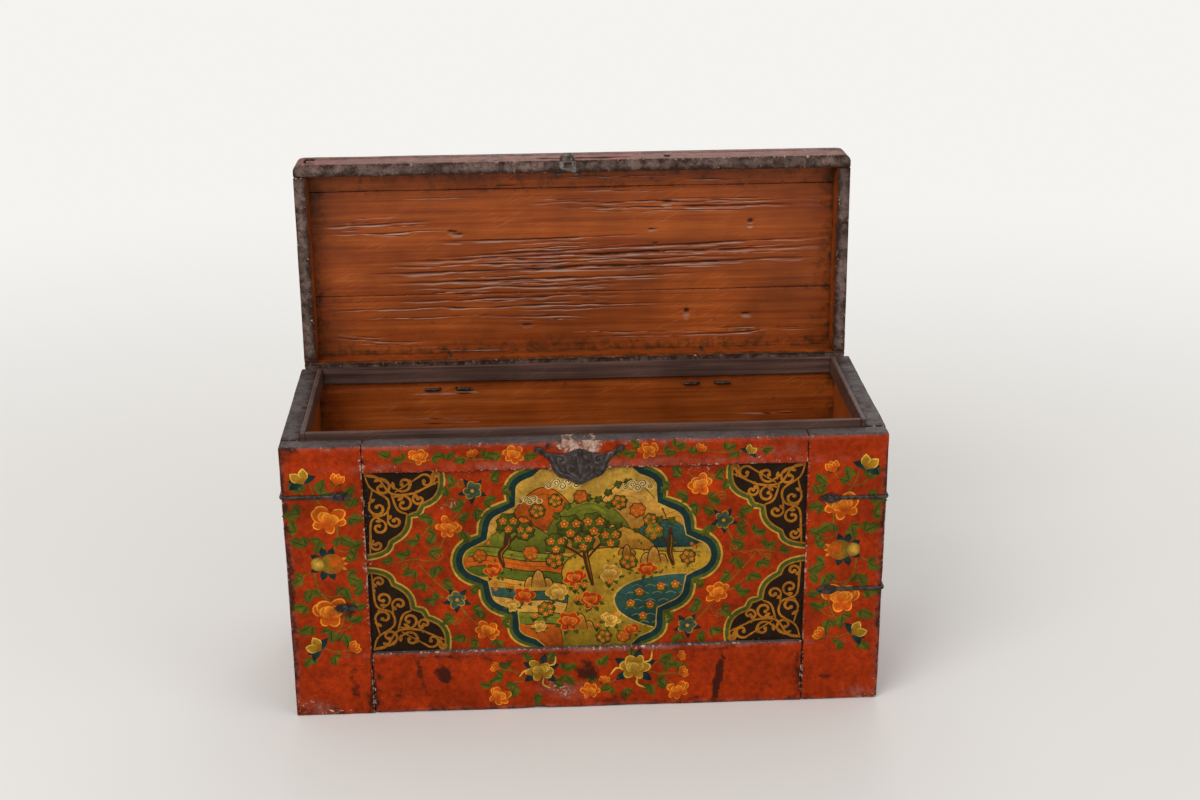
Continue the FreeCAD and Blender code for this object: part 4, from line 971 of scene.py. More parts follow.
# %% Lid rails
LID_MOUTH = np.array(linear("#76625A"))
LID_RAIL_STEPS = (4.0, 4.0, 4.0)
CRACKED_RAIL_STEPS = (4.0, 4.0, 1.0)
lid_rails = {
    "lid_front_rail": (lid_front_low, lid_front_high, (0, -1, 0)),
    "lid_back_rail": (lid_back_low, lid_back_high, (0, 1, 0)),
}
for hand, name in ((-1, "lid_left_rail"), (1, "lid_right_rail")):
    x = sorted((LID_SIDE_INNER * hand, HALF_WIDTH * hand))
    low, high = (x[0], lid_front_high[1], MOUTH_Z), (x[1], lid_back_low[1], LID_RAIL_TOP)
    lid_rails[name] = (low, high, (hand, 0, 0))
# the knocks of the hasp cracked the front rail on both sides of it
HASP_CRACKS = ((MOUTH_Z + 15, -46, 4, 0.02, 2.2, 4.0), (MOUTH_Z + 16, -4, 72, -0.02, 2.6, 4.6))
for seed, (name, (low, high, outward)) in enumerate(lid_rails.items(), start=80):
    cracks = HASP_CRACKS if name == "lid_front_rail" else ()
    steps = CRACKED_RAIL_STEPS if cracks else LID_RAIL_STEPS
    make_wall(
        name, (low, high), outward, seed, (), 2, steps, LID_HOLLOW, "lid", lid_to_row, LID_RED,
        rim=DOWN, bare=LID_MOUTH, cracks=cracks, shape=round_lid,
    )
print("lid rails:", len(lid_rails))

# %% [markdown]
# ## A painter's tools
# The painting could be a texture, but then it would need an image or a very long node tree. Instead it
# is laid on as thin shapes, as a painter does it: filled outlines, brush strokes and larger areas, each
# with its own colours and its own layer. A canvas collects the shapes of one part of the front, bends
# them onto the worn face of the wood and closes them into thin solids.

# %% Canvas and brush
LAYER_MM = 0.012
STAGGER_MM = 0.0022
STAGGER_COUNT = 5
FIRST_COAT_MM = 0.1
COAT_ROOT_MM = 0.3
RING_SHARES = (0.55, 1.0)
GRID_MM = 14


def left_turning(outline):
    """The same outline, running anticlockwise."""
    outline = np.asarray(outline, float)
    x, z = outline.T
    turning = np.sum(x * np.roll(z, -1) - np.roll(x, -1) * z)
    return outline if turning > 0 else outline[::-1]


class Canvas:
    """Shapes painted on one face of the front, kept as triangles in layers."""

    def __init__(self, name, face_y):
        self.name = name
        self.face_y = face_y
        self.spots = []
        self.triangles = []
        self.colours = []
        self.lifts = []
        self.count = 0
        self.aim(0, 0)

    def aim(self, x, z, flip_x=1, flip_z=1):
        """Moves the point that shapes are measured from, and mirrors what is drawn next."""
        self.origin = np.array((x, z), float)
        self.flips = np.array((flip_x, flip_z), float)

    def coat(self, spots, triangles, colours, layer, crown=0.0):
        """Adds one shape, with a colour per place, in a layer, raised by its crown."""
        spots = self.origin + np.asarray(spots, float) * self.flips
        triangles = np.asarray(triangles) + self.count
        stagger = STAGGER_MM * (len(self.spots) % STAGGER_COUNT)
        self.spots.append(spots)
        self.triangles.append(triangles if self.flips.prod() > 0 else triangles[:, ::-1])
        self.colours.append(np.broadcast_to(np.asarray(colours, float), (len(spots), 4)))
        self.lifts.append(FIRST_COAT_MM + LAYER_MM * layer + stagger + np.broadcast_to(crown, len(spots)))
        self.count += len(spots)

    def fill(self, outline, inner, outer, layer, root=None):
        """Fills an outline, from one colour near its root to another far from it."""
        outline = left_turning(outline)
        count = len(outline)
        middle = outline.mean(0)
        spots = np.vstack([middle] + [middle + (outline - middle) * share for share in RING_SHARES])
        reach = np.linalg.norm(spots - (middle if root is None else np.asarray(root)), axis=1)
        share = ((reach - reach.min()) / np.ptp(reach))[:, None]
        colours = np.array(inner) * (1 - share) + np.array(outer) * share
        here = np.arange(count)
        after = (here + 1) % count
        triangles = [np.column_stack([np.zeros(count, int), here + 1, after + 1])]
        for ring in range(len(RING_SHARES) - 1):
            a, b = here + 1 + ring * count, after + 1 + ring * count
            triangles.append(np.column_stack([a, a + count, b + count]))
            triangles.append(np.column_stack([a, b + count, b]))
        self.coat(spots, np.vstack(triangles), colours, layer)

    def stroke(self, path, width, colour, layer, ends=0.2, crown=0.0):
        """One brush stroke along a path, thinner at its ends, and raised along its middle."""
        path = np.asarray(path, float)
        count = len(path)
        ahead = np.gradient(path, axis=0)
        ahead = ahead / np.maximum(np.linalg.norm(ahead, axis=1, keepdims=True), 1e-6)
        side = np.column_stack([-ahead[:, 1], ahead[:, 0]])
        run = np.linspace(0, 1, count)[:, None]
        half = width / 2 * (ends + (1 - ends) * np.sin(np.pi * run) ** 0.6)
        spots = np.vstack([path - side * half, path, path + side * half])
        a = np.arange(count - 1)
        triangles = []
        for row in (0, count):
            b = a + row
            triangles.append(np.column_stack([b, b + 1, b + 1 + count]))
            triangles.append(np.column_stack([b, b + 1 + count, b + count]))
        raised = np.repeat((0.0, crown, 0.0), count)
        self.coat(spots, np.vstack(triangles), colour, layer, raised)

    def area(self, outlines, low_colour, high_colour, layer, grid_mm=GRID_MM):
        """Fills the part that lies in all outlines, shaded from its foot to its top."""
        corners = []
        rings = []
        for outline in outlines:
            outline = left_turning(outline)
            rings.append(list(range(len(corners), len(corners) + len(outline))))
            corners.extend(Vector(spot) for spot in outline.tolist())
        low = np.min([np.min(outline, axis=0) for outline in outlines], axis=0)
        high = np.max([np.max(outline, axis=0) for outline in outlines], axis=0)
        grid_x = np.arange(low[0] + grid_mm / 2, high[0], grid_mm)
        grid_z = np.arange(low[1] + grid_mm / 2, high[1], grid_mm)
        corners.extend(Vector(spot) for spot in itertools.product(grid_x.tolist(), grid_z.tolist()))
        made = delaunay_2d_cdt(corners, [], rings, 0, 1e-5)
        inside = [face for face, owners in zip(made[2], made[5]) if len(set(owners)) == len(outlines)]
        if not inside:
            return
        used, triangles = np.unique(np.array(inside), return_inverse=True)
        spots = np.array([tuple(spot) for spot in made[0]])[used]
        share = ((spots[:, 1] - spots[:, 1].min()) / np.ptp(spots[:, 1]))[:, None]
        colours = np.array(low_colour) * (1 - share) + np.array(high_colour) * share
        self.coat(spots, triangles.reshape(-1, 3), colours, layer)

    def hang(self, material=painted_lacquer, slot="painted_front", replaced=(), smooth=False, **values):
        """Makes the piece: shapes bent onto the wood and closed by sides and a back in the wood."""
        spots = np.vstack(self.spots)
        triangles = np.vstack(self.triangles)
        x, z = spots.T
        face = self.face_y + front_dip(x, z)
        count = len(spots)
        front = np.column_stack([x, face - np.concatenate(self.lifts), z])
        back = np.column_stack([x, face + COAT_ROOT_MM, z])
        edges = np.vstack([triangles[:, [0, 1]], triangles[:, [1, 2]], triangles[:, [2, 0]]])
        keys = np.sort(edges, axis=1) @ (count, 1)
        first, times = np.unique(keys, return_index=True, return_counts=True)[1:]
        a, b = edges[first[times == 1]].T
        faces = [triangles, triangles[:, ::-1] + count]
        faces.append(np.column_stack([b, a, a + count]))
        faces.append(np.column_stack([b, a + count, b + count]))
        return make_piece(
            self.name, np.vstack([front, back]), np.vstack(faces), material, "chest", slot, replaced, smooth,
            paint=np.tile(np.vstack(self.colours), (2, 1)), edge=np.zeros(2 * count),
            chip=np.tile(worn_amount(x, z, CHIPPED_PLACES), 2),
            grime=np.tile(worn_amount(x, z, GRIMY_AND_SHADED_PLACES), 2), **values,
        )


print("layers of paint lie", LAYER_MM, "mm apart")

# %% [markdown]
# ## Paths and outlines
# A painter draws a stem in one sweep and a petal by its outline. Bezier objects could hold them, but
# each would be one more object to convert, so a few functions work the points out: a smooth path
# through chosen points, an oval with a wavy edge and a leaf with notched sides.

# %% Paths and outlines
def curve(points, per_span=6):
    """A smooth path through a few points."""
    points = np.asarray(points, float)
    held = np.vstack([2 * points[0] - points[1], points, 2 * points[-1] - points[-2]])
    share = np.linspace(0, 1, per_span, endpoint=False)[:, None]
    runs = []
    for a, b, c, d in zip(held, held[1:], held[2:], held[3:]):
        bend = 2 * a - 5 * b + 4 * c - d + share * (3 * (b - c) + d - a)
        runs.append(b + 0.5 * share * (c - a + share * bend))
    return np.vstack(runs + [points[-1:]])


def around(x, z, angle, distance):
    """The place at a distance from x, z in a direction given in degrees."""
    turn = math.radians(angle)
    return (x + distance * math.cos(turn), z + distance * math.sin(turn))


def turned(u, w, x, z, angle):
    """Points at u along and w across a direction in degrees, measured from x, z."""
    turn = math.radians(angle)
    along = np.array((math.cos(turn), math.sin(turn)))
    across = np.array((-math.sin(turn), math.cos(turn)))
    return np.array((x, z)) + np.outer(u, along) + np.outer(w, across)


def oval(x, z, half_long, half_wide, angle=0.0, waves=0, depth=0.0, count=22):
    """Outline of an oval that is turned by an angle in degrees, with a wavy edge."""
    turns = np.linspace(0, 2 * math.pi, count, endpoint=False)
    reach = 1 + depth * np.cos(waves * turns)
    return turned(half_long * reach * np.cos(turns), half_wide * reach * np.sin(turns), x, z, angle)


def blade(x, z, angle, length, width, fullness=0.8, bend=0.0, count=9, notch=0.0):
    """Outline of a leaf from x, z: widest above its middle if fullness is over 1, with notched sides."""
    run = np.linspace(0, 1, count)
    notched = 1 - notch * (1 - np.abs(np.cos(3 * math.pi * run)))
    half = width / 2 * np.sin(math.pi * run ** fullness) * notched
    middle = bend * length * np.sin(math.pi * run)
    u = np.concatenate([run, run[-2:0:-1]]) * length
    w = np.concatenate([middle - half, (middle + half)[-2:0:-1]])
    return turned(u, w, x, z, angle)


print("a trial leaf has", len(blade(0, 0, 0, 10, 4)), "points")

# %% [markdown]
# ## Flowers and leaves
# The ornament is the traditional kind: peonies, lotus buds, pomegranates and leaves on thin stems. Each
# kind is one function that lays its petals from the back to the front, in the way that they overlap, so
# that a whole border is only a list of places.

# %% Colours of the ornament, and leaves
PETAL_DEEP = linear("#A63A05")
PETAL = linear("#C4580C")
PETAL_LIGHT = linear("#E48E26")
LEAF_DARK = linear("#2C300A")
LEAF = linear("#434810")
LEAF_LIGHT = linear("#5C5C18")
TEAL_DARK = linear("#101F1E")
TEAL = linear("#223B38")
OCHRE_DARK = linear("#865A10")
OCHRE = linear("#B27F1E")
OCHRE_LIGHT = linear("#D8AC44")
FRUIT = linear("#A8500E")
FRUIT_GREEN = linear("#565E18")
STEM_GREEN = linear("#6E5E1A")
# layers of a flower, from the stems to the inner petals
STEMS, LEAVES, RIBS, PETALS, INNER = 0, 2, 4, 6, 22
MAIN_STEM_MM, STEM_MM, TWIG_MM, RIB_MM = 1.7, 1.3, 1.2, 1.0
BLUNT = 0.5


def leaf(canvas, x, z, angle, length):
    """A notched leaf with a darker rib, and a smaller one beside it."""
    draw = random.Random(round(7 * x + 13 * z))
    for spread, share in ((draw.choice((-64, 64)), 0.8), (0, 1.25)):
        turn = angle + spread + draw.uniform(-10, 10)
        long = length * share
        shape = blade(x, z, turn, long, long * 0.74, 0.85, draw.uniform(-0.12, 0.12), 17, 0.45)
        canvas.fill(shape, LEAF_LIGHT, LEAF, LEAVES, around(x, z, turn + 40, long * 0.5))
        rib = [around(x, z, turn, long * part) for part in (0.05, 0.3, 0.55, 0.8)]
        canvas.stroke(rib, RIB_MM, LEAF_DARK, RIBS)


print("layers of a flower:", STEMS, LEAVES, RIBS, PETALS, INNER)

# %% Petals, peonies and buds
def petals(canvas, x, z, size, angle, shapes, tones, layer):
    """Round petals from the back to the front; each shape: direction, distance, half length, half width."""
    draw = random.Random(round(7 * x + 13 * z))
    hand = draw.choice((-1, 1))
    for number, (spread, reach, long, wide) in enumerate(shapes):
        turn = angle + hand * spread + draw.uniform(-16, 16)
        reach, long = size * reach * draw.uniform(0.8, 1.15), size * long * draw.uniform(0.85, 1.15)
        petal = oval(*around(x, z, turn, reach), long, size * wide * draw.uniform(0.9, 1.1), turn, 3, 0.05)
        root = around(x, z, turn, reach - long)
        canvas.fill(petal, tones[0], tones[1], layer + 2 * number, root)
        rim = np.vstack([petal[-7:], petal[:8]])[draw.randint(0, 3):draw.randint(10, 15)]
        canvas.stroke(rim, size * 0.09, tones[2], layer + 2 * number + 1)


PEONY_BACK = (
    (-152, 0.55, 0.4, 0.34), (138, 0.5, 0.38, 0.34), (-96, 0.68, 0.46, 0.34), (82, 0.62, 0.42, 0.4),
    (-42, 0.62, 0.46, 0.38), (34, 0.52, 0.42, 0.42),
)
PEONY_BALL = ((-74, 0.26, 0.4, 0.36), (70, 0.22, 0.34, 0.36), (8, 0.04, 0.36, 0.3))


def peony(canvas, x, z, size, angle=90, tones=(PETAL_DEEP, PETAL, PETAL_LIGHT), base=0):
    """A flower seen from the side: spread petals with light rims behind a closed ball of petals."""
    petals(canvas, x, z, size, angle, PEONY_BACK, tones, base + PETALS)
    warm = tuple(0.5 * (a + b) for a, b in zip(tones[1], tones[2]))
    petals(canvas, x, z, size, angle, PEONY_BALL, (tones[0], warm, tones[2]), base + INNER)


def bud(canvas, x, z, size, angle, tones=(PETAL_DEEP, PETAL, PETAL_LIGHT)):
    """A closed flower of three petals in a green cup."""
    foot = around(x, z, angle + 180, size * 0.9)
    for spread in (-38, 38):
        canvas.fill(blade(*foot, angle + spread, size * 1.3, size * 0.8, 1.1), LEAF, LEAF_DARK, LEAVES, foot)
    for spread in (-24, 24, 0):
        petal = blade(*foot, angle + spread, size * 1.9, size * 0.95, 1.5)
        canvas.fill(petal, tones[0], tones[1], PETALS, foot)
        canvas.stroke(petal[4:13], size * 0.12, tones[2], PETALS + 1)


print("a peony has", len(PEONY_BACK) + len(PEONY_BALL), "petals")

# %% Lotus buds, blossoms and pomegranates
def lotus(canvas, x, z, size, angle):
    """A lotus bud: dark pointed petals behind, and two ochre petals with light rims in front."""
    foot = around(x, z, angle + 180, size * 0.6)
    for spread in (-86, 82, -46, 48):
        petal = blade(*foot, angle + spread, size * 1.3, size * 0.66, 1.0, 0.14 if spread < 0 else -0.14)
        canvas.fill(petal, TEAL, TEAL_DARK, PETALS, foot)
    for number, spread in enumerate((-30, 18)):
        petal = blade(*foot, angle + spread, size * 1.4, size * 0.78, 1.3)
        canvas.fill(petal, OCHRE_DARK, OCHRE, PETALS + 2 + 2 * number, foot)
        canvas.stroke(petal[3:14], size * 0.11, OCHRE_LIGHT, PETALS + 3 + 2 * number)


BLOSSOM_PETALS = tuple((spread, 0.45, 0.42, 0.38) for spread in range(0, 360, 72))
BLOSSOM_TONES = (linear("#22382F"), linear("#4E5838"), OCHRE)


def blossom(canvas, x, z, size, angle):
    """A small cool-coloured flower with dark pointed leaves behind it."""
    for spread in (20, 92, 164, 236, 308):
        shape = blade(x, z, angle + spread, size * 1.4, size * 0.62)
        canvas.fill(shape, TEAL, TEAL_DARK, LEAVES, (x, z))
    petals(canvas, x, z, size, angle, BLOSSOM_PETALS, BLOSSOM_TONES, PETALS)
    canvas.fill(oval(x, z, size * 0.2, size * 0.2), OCHRE_LIGHT, OCHRE_DARK, INNER)


def pomegranate(canvas, x, z, size):
    """A brown-orange fruit with its crown at one side, and an ochre blossom with dark leaves at the other."""
    for turn in (70, 105, 148, 206, 252, 290):
        foot = around(x - size * 0.4, z, turn, size * 0.55)
        shape = blade(*foot, turn, size * 1.05, size * 0.7, 0.9, 0.0, 11, 0.2)
        canvas.fill(shape, TEAL, TEAL_DARK, LEAVES, foot)
    for spread in (-30, 0, 30):
        foot = around(x, z, spread * 0.7, size * 0.75)
        canvas.fill(blade(*foot, spread, size * 0.62, size * 0.3), FRUIT, PETAL_LIGHT, PETALS, foot)
    canvas.fill(oval(x, z, size, size * 0.94), FRUIT_GREEN, FRUIT, PETALS + 2, (x - size, z))
    canvas.fill(oval(x + size * 0.3, z + size * 0.15, size * 0.5, size * 0.52), PETAL, FRUIT, PETALS + 4)
    disc = (x - size * 1.2, z)
    canvas.fill(oval(*disc, size * 0.56, size * 0.64, 0, 5, 0.05), OCHRE_LIGHT, OCHRE_DARK, PETALS + 6)


print("a blossom has", len(BLOSSOM_PETALS), "petals")

# %% Curls
def winding(tail, middle, radius, hand, turns):
    """Path of a curl that comes in from its tail and winds up round its middle."""
    tail, middle = np.array(tail, float), np.array(middle, float)
    start = math.atan2(*(tail - middle)[::-1]) + 0.9 * hand
    run = np.linspace(0, 1, 12)
    angles = start + hand * run * turns * 2 * math.pi
    reach = radius * (1 - 0.78 * run)
    coil = middle + np.column_stack([np.cos(angles), np.sin(angles)]) * reach[:, None]
    return curve(np.vstack([tail, coil]), 4)


def scroll(canvas, tail, middle, radius, hand, width, colour, layer, crown=0.0, turns=1.35):
    """A painted curl with a round end."""
    path = winding(tail, middle, radius, hand, turns)
    canvas.stroke(path, width, colour, layer, 0.45, crown)
    canvas.fill(oval(*path[-1], width * 0.75, width * 0.75, count=12), colour, colour, layer + 1)


print("a trial curl has", len(winding((0, 0), (10, 5), 5, 1, 1.0)), "points")

# %% [markdown]
# ## Borders on the stiles and rails
# The two stiles mirror each other: a winding stem with a lotus at both ends, two peonies and a
# pomegranate. The rails have looser sprays. Places are in millimetres from the middle of a stile, and
# from the middle of the front on the rails.

# %% Stiles
STILE_MIDDLE = (PANEL_HALF + HALF_WIDTH) / 2
STILE_STEM = [
    (-14, 88), (8, 105), (15, 130), (-8, 152), (-12, 185), (10, 206), (13, 240), (-6, 264), (-14, 288),
]
STILE_TWIGS = [
    [(8, 105), (18, 108), (26, 116)], [(15, 130), (24, 128), (30, 134)], [(-8, 152), (-16, 152), (-24, 160)],
    [(10, 206), (22, 202), (31, 208)], [(13, 240), (24, 236), (32, 242)], [(-6, 264), (-18, 268), (-26, 279)],
    [(-6, 264), (8, 272), (17, 284)], [(-12, 185), (-22, 176), (-31, 172)], [(-14, 88), (4, 80), (22, 82)],
    [(-8, 152), (6, 148), (20, 156)],
]
# each leaf: x, z, direction, length
STILE_LEAVES = [
    (-2, 270, 80, 16), (22, 268, 40, 15), (-22, 274, 150, 15), (-24, 250, 200, 17), (26, 242, -10, 15),
    (15, 220, -35, 16), (-5, 218, 250, 16), (-20, 210, 165, 17), (26, 206, 15, 14), (-26, 172, 215, 14),
    (22, 172, -20, 17), (17, 160, -60, 16), (-16, 158, 240, 16), (-24, 137, 170, 15), (26, 134, 10, 13),
    (-20, 113, 200, 16), (0, 108, 270, 15), (14, 102, 300, 15), (22, 116, 30, 14), (-22, 74, 235, 13),
    (2, 76, 280, 12), (28, 190, 60, 13), (-30, 228, 120, 13), (30, 255, 70, 12), (28, 152, 40, 12),
]
for hand, name in ((1, "left_stile_flowers"), (-1, "right_stile_flowers")):
    canvas = Canvas(name, FRONT_Y)
    canvas.aim(-hand * STILE_MIDDLE, 0, hand)
    canvas.stroke(curve(STILE_STEM), MAIN_STEM_MM, STEM_GREEN, STEMS, BLUNT)
    for twig in STILE_TWIGS:
        canvas.stroke(curve(twig), TWIG_MM, STEM_GREEN, STEMS + 1, BLUNT)
    for place_and_size in STILE_LEAVES:
        leaf(canvas, *place_and_size)
    peony(canvas, 4, 241, 19, 80)
    peony(canvas, 1, 129, 20, 95)
    pomegranate(canvas, 6, 188, 13)
    lotus(canvas, -23, 290, 13, 120)
    lotus(canvas, -18, 86, 13, 150)
    bud(canvas, 17, 287, 8, 70)
    bud(canvas, 24, 84, 8, 30)
    hung = canvas.hang()
    print(hung.name, "has", len(hung.data.polygons), "faces")

# %% Top rail
TOP_LEAVES = [
    (-196, 309, 170, 12), (-166, 311, 10, 12), (-152, 308, 40, 11), (-131, 309, 190, 11), (-112, 310, -5, 12),
    (-92, 312, 170, 12), (-66, 311, 0, 12), (-212, 312, 150, 11), (30, 311, 20, 12), (52, 311, 190, 11),
    (58, 318, 150, 10), (84, 311, -10, 12), (96, 316, 20, 12), (112, 309, 0, 11), (150, 311, 15, 12),
    (166, 309, 200, 11), (192, 311, 10, 10),
]
canvas = Canvas("top_rail_flowers", FRONT_Y)
for stem in (
    [(-216, 310), (-180, 306), (-150, 313), (-118, 307), (-84, 313), (-56, 309)],
    [(22, 309), (52, 313), (84, 308), (114, 313), (150, 308), (200, 312)],
):
    canvas.stroke(curve(stem), STEM_MM, STEM_GREEN, STEMS, BLUNT)
for place_and_size in TOP_LEAVES:
    leaf(canvas, *place_and_size)
peony(canvas, -180, 312, 10, 100)
bud(canvas, -122, 313, 6, 110)
peony(canvas, -79, 312, 11, 80)
peony(canvas, 69, 313, 10, 90)
bud(canvas, 124, 313, 6, 60)
lotus(canvas, 178, 310, 8, 60)
print("top rail:", len(canvas.hang().data.polygons), "faces")

# %% Bottom rail
BOTTOM_LEAVES = [
    (-90, 52, 155, 13), (-96, 42, 200, 13), (-82, 32, 250, 16), (-68, 60, 100, 11), (-44, 60, 65, 12),
    (-28, 48, 30, 14), (-26, 42, -60, 14), (14, 52, 60, 13), (-60, 18, 265, 12), (-40, 32, -30, 12),
    (80, 56, 35, 14), (86, 52, -5, 14), (78, 32, -40, 14), (68, 28, -80, 14), (28, 24, 200, 13),
    (49, 62, 95, 10), (42, 22, 265, 12), (98, 46, 20, 12), (8, 32, 140, 11), (-110, 30, 160, 11),
]
GOLDEN = (OCHRE_DARK, OCHRE, OCHRE_LIGHT)
canvas = Canvas("bottom_rail_flowers", FRONT_Y)
for twig in (
    [(-104, 20), (-86, 34), (-70, 36), (-54, 48), (-36, 40), (-14, 30), (8, 34)],
    [(-70, 36), (-84, 48), (-96, 50)], [(2, 22), (24, 30), (52, 46), (78, 40), (102, 22)],
    [(52, 46), (74, 54), (100, 60)], [(78, 40), (92, 40), (104, 40)],
):
    canvas.stroke(curve(twig), STEM_MM, STEM_GREEN, STEMS, BLUNT)
for place_and_size in BOTTOM_LEAVES:
    leaf(canvas, *place_and_size)
for x, z, size in ((-54, 48, 14), (52, 48, 16)):
    for turn in (20, 75, 150, 215, 320):
        foot = around(x, z, turn, size * 0.6)
        canvas.fill(blade(*foot, turn, size, size * 0.6), TEAL, TEAL_DARK, LEAVES, foot)
    for turn in (40, 190, 290):
        foot = around(x, z, turn, size * 0.7)
        tendril = [foot, around(*foot, turn - 25, size * 0.6), around(*foot, turn + 10, size * 1.1)]
        canvas.stroke(curve(tendril), 2.2, OCHRE_LIGHT, RIBS)
    peony(canvas, x, z, size, 90, GOLDEN)
peony(canvas, -102, 18, 12, 60)
peony(canvas, 2, 20, 10, 80)
peony(canvas, 103, 19, 12, 110)
bud(canvas, 18, 33, 6, 80)
bud(canvas, 104, 62, 6, 10)
bud(canvas, 106, 41, 7, 20)
bud(canvas, -104, 54, 6, 150)
print("bottom rail:", len(canvas.hang().data.polygons), "faces")

# %% [markdown]
# ## The panel: corners, flowers and medallion
# The panel has a gold scroll corner in each angle, a lobed medallion in the middle and flowers between
# them. The lobes are arcs that meet in cusps. One quarter is drawn and mirrored, and each border band
# is the same outline moved inwards, so the bands stay even all the way round.

# %% Lobed outlines
PANEL_MIDDLE = (PANEL_BOTTOM + PANEL_TOP) / 2
PANEL_HALF_HEIGHT = (PANEL_TOP - PANEL_BOTTOM) / 2
HIDDEN_MM = 1.0


def lobes(*places):
    """Parabolic arcs through start, middle, end, middle, end and so on."""
    runs = []
    share = np.linspace(0, 1, 10)[:, None]
    places = np.array(places, float)
    for start, middle, end in zip(places[:-2:2], places[1:-1:2], places[2::2]):
        pull = 2 * middle - (start + end) / 2
        runs.append((1 - share) ** 2 * start + 2 * share * (1 - share) * pull + share ** 2 * end)
    return np.vstack([run[:-1] for run in runs] + [runs[-1][-1:]])


def moved_in(outline, distance):
    """An open run of lobes, moved to its left by a distance."""
    ahead = np.gradient(outline, axis=0)
    ahead /= np.linalg.norm(ahead, axis=1, keepdims=True)
    return outline + np.column_stack([-ahead[:, 1], ahead[:, 0]]) * distance


# outline of the lower left corner scroll, from the panel's side to its foot, measured from its corner
CORNER = lobes((-1, 105), (22, 99), (31, 86), (47, 73), (52, 55), (61, 53), (66, 44), (86, 28), (88, -1))
# a quarter of the medallion, from its side tip to behind the top rail, measured from its middle
TIP_X = 151
BEHIND_RAIL = [(57, 119), (46, 130)]
QUARTER = np.vstack([
    lobes((TIP_X, 0), (143, 21), (121, 33), (114, 58), (89, 72), (87, 96), (66, 110)), BEHIND_RAIL
])


def medallion(distance):
    """The closed outline of the medallion, moved in by a distance and cut by the panel's edges."""
    quarter = moved_in(QUARTER, distance)
    quarter[0] = (TIP_X - distance, 0)
    top = PANEL_HALF_HEIGHT + HIDDEN_MM
    quarter[:, 1] = np.minimum(quarter[:, 1], top)
    flips = ((1, 1, 1), (-1, 1, -1), (-1, -1, 1), (1, -1, -1))
    runs = [(quarter * (flip_x, flip_z))[::step] for flip_x, flip_z, step in flips]
    runs = [run[1:] if number % 2 else run[:-1] for number, run in enumerate(runs)]
    return np.vstack(runs)


print("corner outline:", len(CORNER), "points, medallion:", len(medallion(0)), "points")

# %% Gold scrolls in the corners
GOLD = linear("#A5651A")
SCROLL_GROUND = linear("#24170C")
PALE_LINE = linear("#BC9036")
BAND_GREEN = linear("#4A511E")
BAND_OCHRE = linear("#96681C")
# each band of the corner's border: distance from its outline, colour
CORNER_BANDS = ((0.0, PALE_LINE), (2.0, BAND_GREEN), (6.0, BAND_OCHRE), (8.0, SCROLL_GROUND))
SCROLL_LAYER = 5
SCROLL_STEM_MM, SCROLL_STEM_CROWN_MM = 2.6, 0.2
CURL_MM, CURL_CROWN_MM, CURL_TURNS = 3.1, 0.3, 0.95
CURL_LEAF_MM, CURL_LEAF_SPREAD = 4.2, 70
# each curl: tail x and z, middle x and z, radius, hand
CURLS = [
    (4, 4, 20, 18, 10.5, 1), (20, 8, 44, 14, 10, -1), (34, 24, 68, 12, 9.5, 1), (10, 20, 15, 42, 10, -1),
    (30, 30, 43, 38, 10, 1), (8, 50, 15, 65, 9, 1), (26, 44, 33, 58, 8, -1), (6, 74, 12, 86, 7, -1),
    (58, 22, 60, 33, 7, -1), (78, 16, 80, 5, 5, 1),
]
SCROLL_STEMS = [
    [(2, 2), (16, 6), (30, 25), (52, 26), (66, 20), (82, 12)],
    [(2, 2), (8, 18), (26, 32), (24, 48), (8, 56), (5, 78), (4, 98)],
    [(30, 25), (36, 44), (46, 50)],
]
canvas = Canvas("corner_scrolls", PANEL_Y)
for flip_x, flip_z in itertools.product((1, -1), repeat=2):
    canvas.aim(-flip_x * PANEL_HALF, PANEL_MIDDLE - flip_z * PANEL_HALF_HEIGHT, flip_x, flip_z)
    corner_point = [(-HIDDEN_MM, -HIDDEN_MM)]
    for layer, (distance, colour) in enumerate(CORNER_BANDS):
        edge_line = np.maximum(moved_in(CORNER, -distance), -HIDDEN_MM)
        canvas.area([np.vstack([edge_line, corner_point])], colour, colour, layer)
    for stem in SCROLL_STEMS:
        canvas.stroke(curve(stem), SCROLL_STEM_MM, GOLD, SCROLL_LAYER, BLUNT, SCROLL_STEM_CROWN_MM)
    for tail_x, tail_z, x, z, radius, hand in CURLS:
        tail, middle = (tail_x, tail_z), (x, z)
        scroll(
            canvas, tail, middle, radius, hand, CURL_MM, GOLD, SCROLL_LAYER + 1, CURL_CROWN_MM, CURL_TURNS
        )
        foot = ((tail_x + x) / 2, (tail_z + z) / 2)
        turn = math.degrees(math.atan2(z - tail_z, x - tail_x)) - CURL_LEAF_SPREAD * hand
        canvas.fill(blade(*foot, turn, radius, CURL_LEAF_MM), GOLD, GOLD, SCROLL_LAYER)
print("corner scrolls:", len(canvas.hang().data.polygons), "faces")

# %% Flowers between the corners and the medallion
# each leaf: x and z from the middle of the panel on its left side, direction, length
FIELD_LEAVES = [
    (-104, 96, 60, 13), (-142, 92, 130, 12), (-134, 68, 200, 13), (-112, 70, 20, 13), (-122, 62, 280, 13),
    (-168, 52, 170, 14), (-140, 50, 40, 12), (-136, 36, -50, 13), (-166, 34, 230, 14), (-184, 26, 170, 13),
    (-174, 12, 20, 13), (-196, 8, 160, 13), (-214, 2, 190, 11), (-166, -4, 250, 14), (-190, -10, 200, 13),
    (-180, -26, 200, 13), (-160, -24, -40, 13), (-166, -46, 190, 14), (-130, -36, 30, 12),
    (-128, -58, -30, 13), (-150, -66, 230, 14), (-120, -72, 100, 12), (-138, -92, 200, 13),
    (-96, -78, 40, 13), (-104, -98, -60, 12), (-124, -98, 240, 12), (-150, 78, 100, 11), (-92, 84, 330, 11),
]
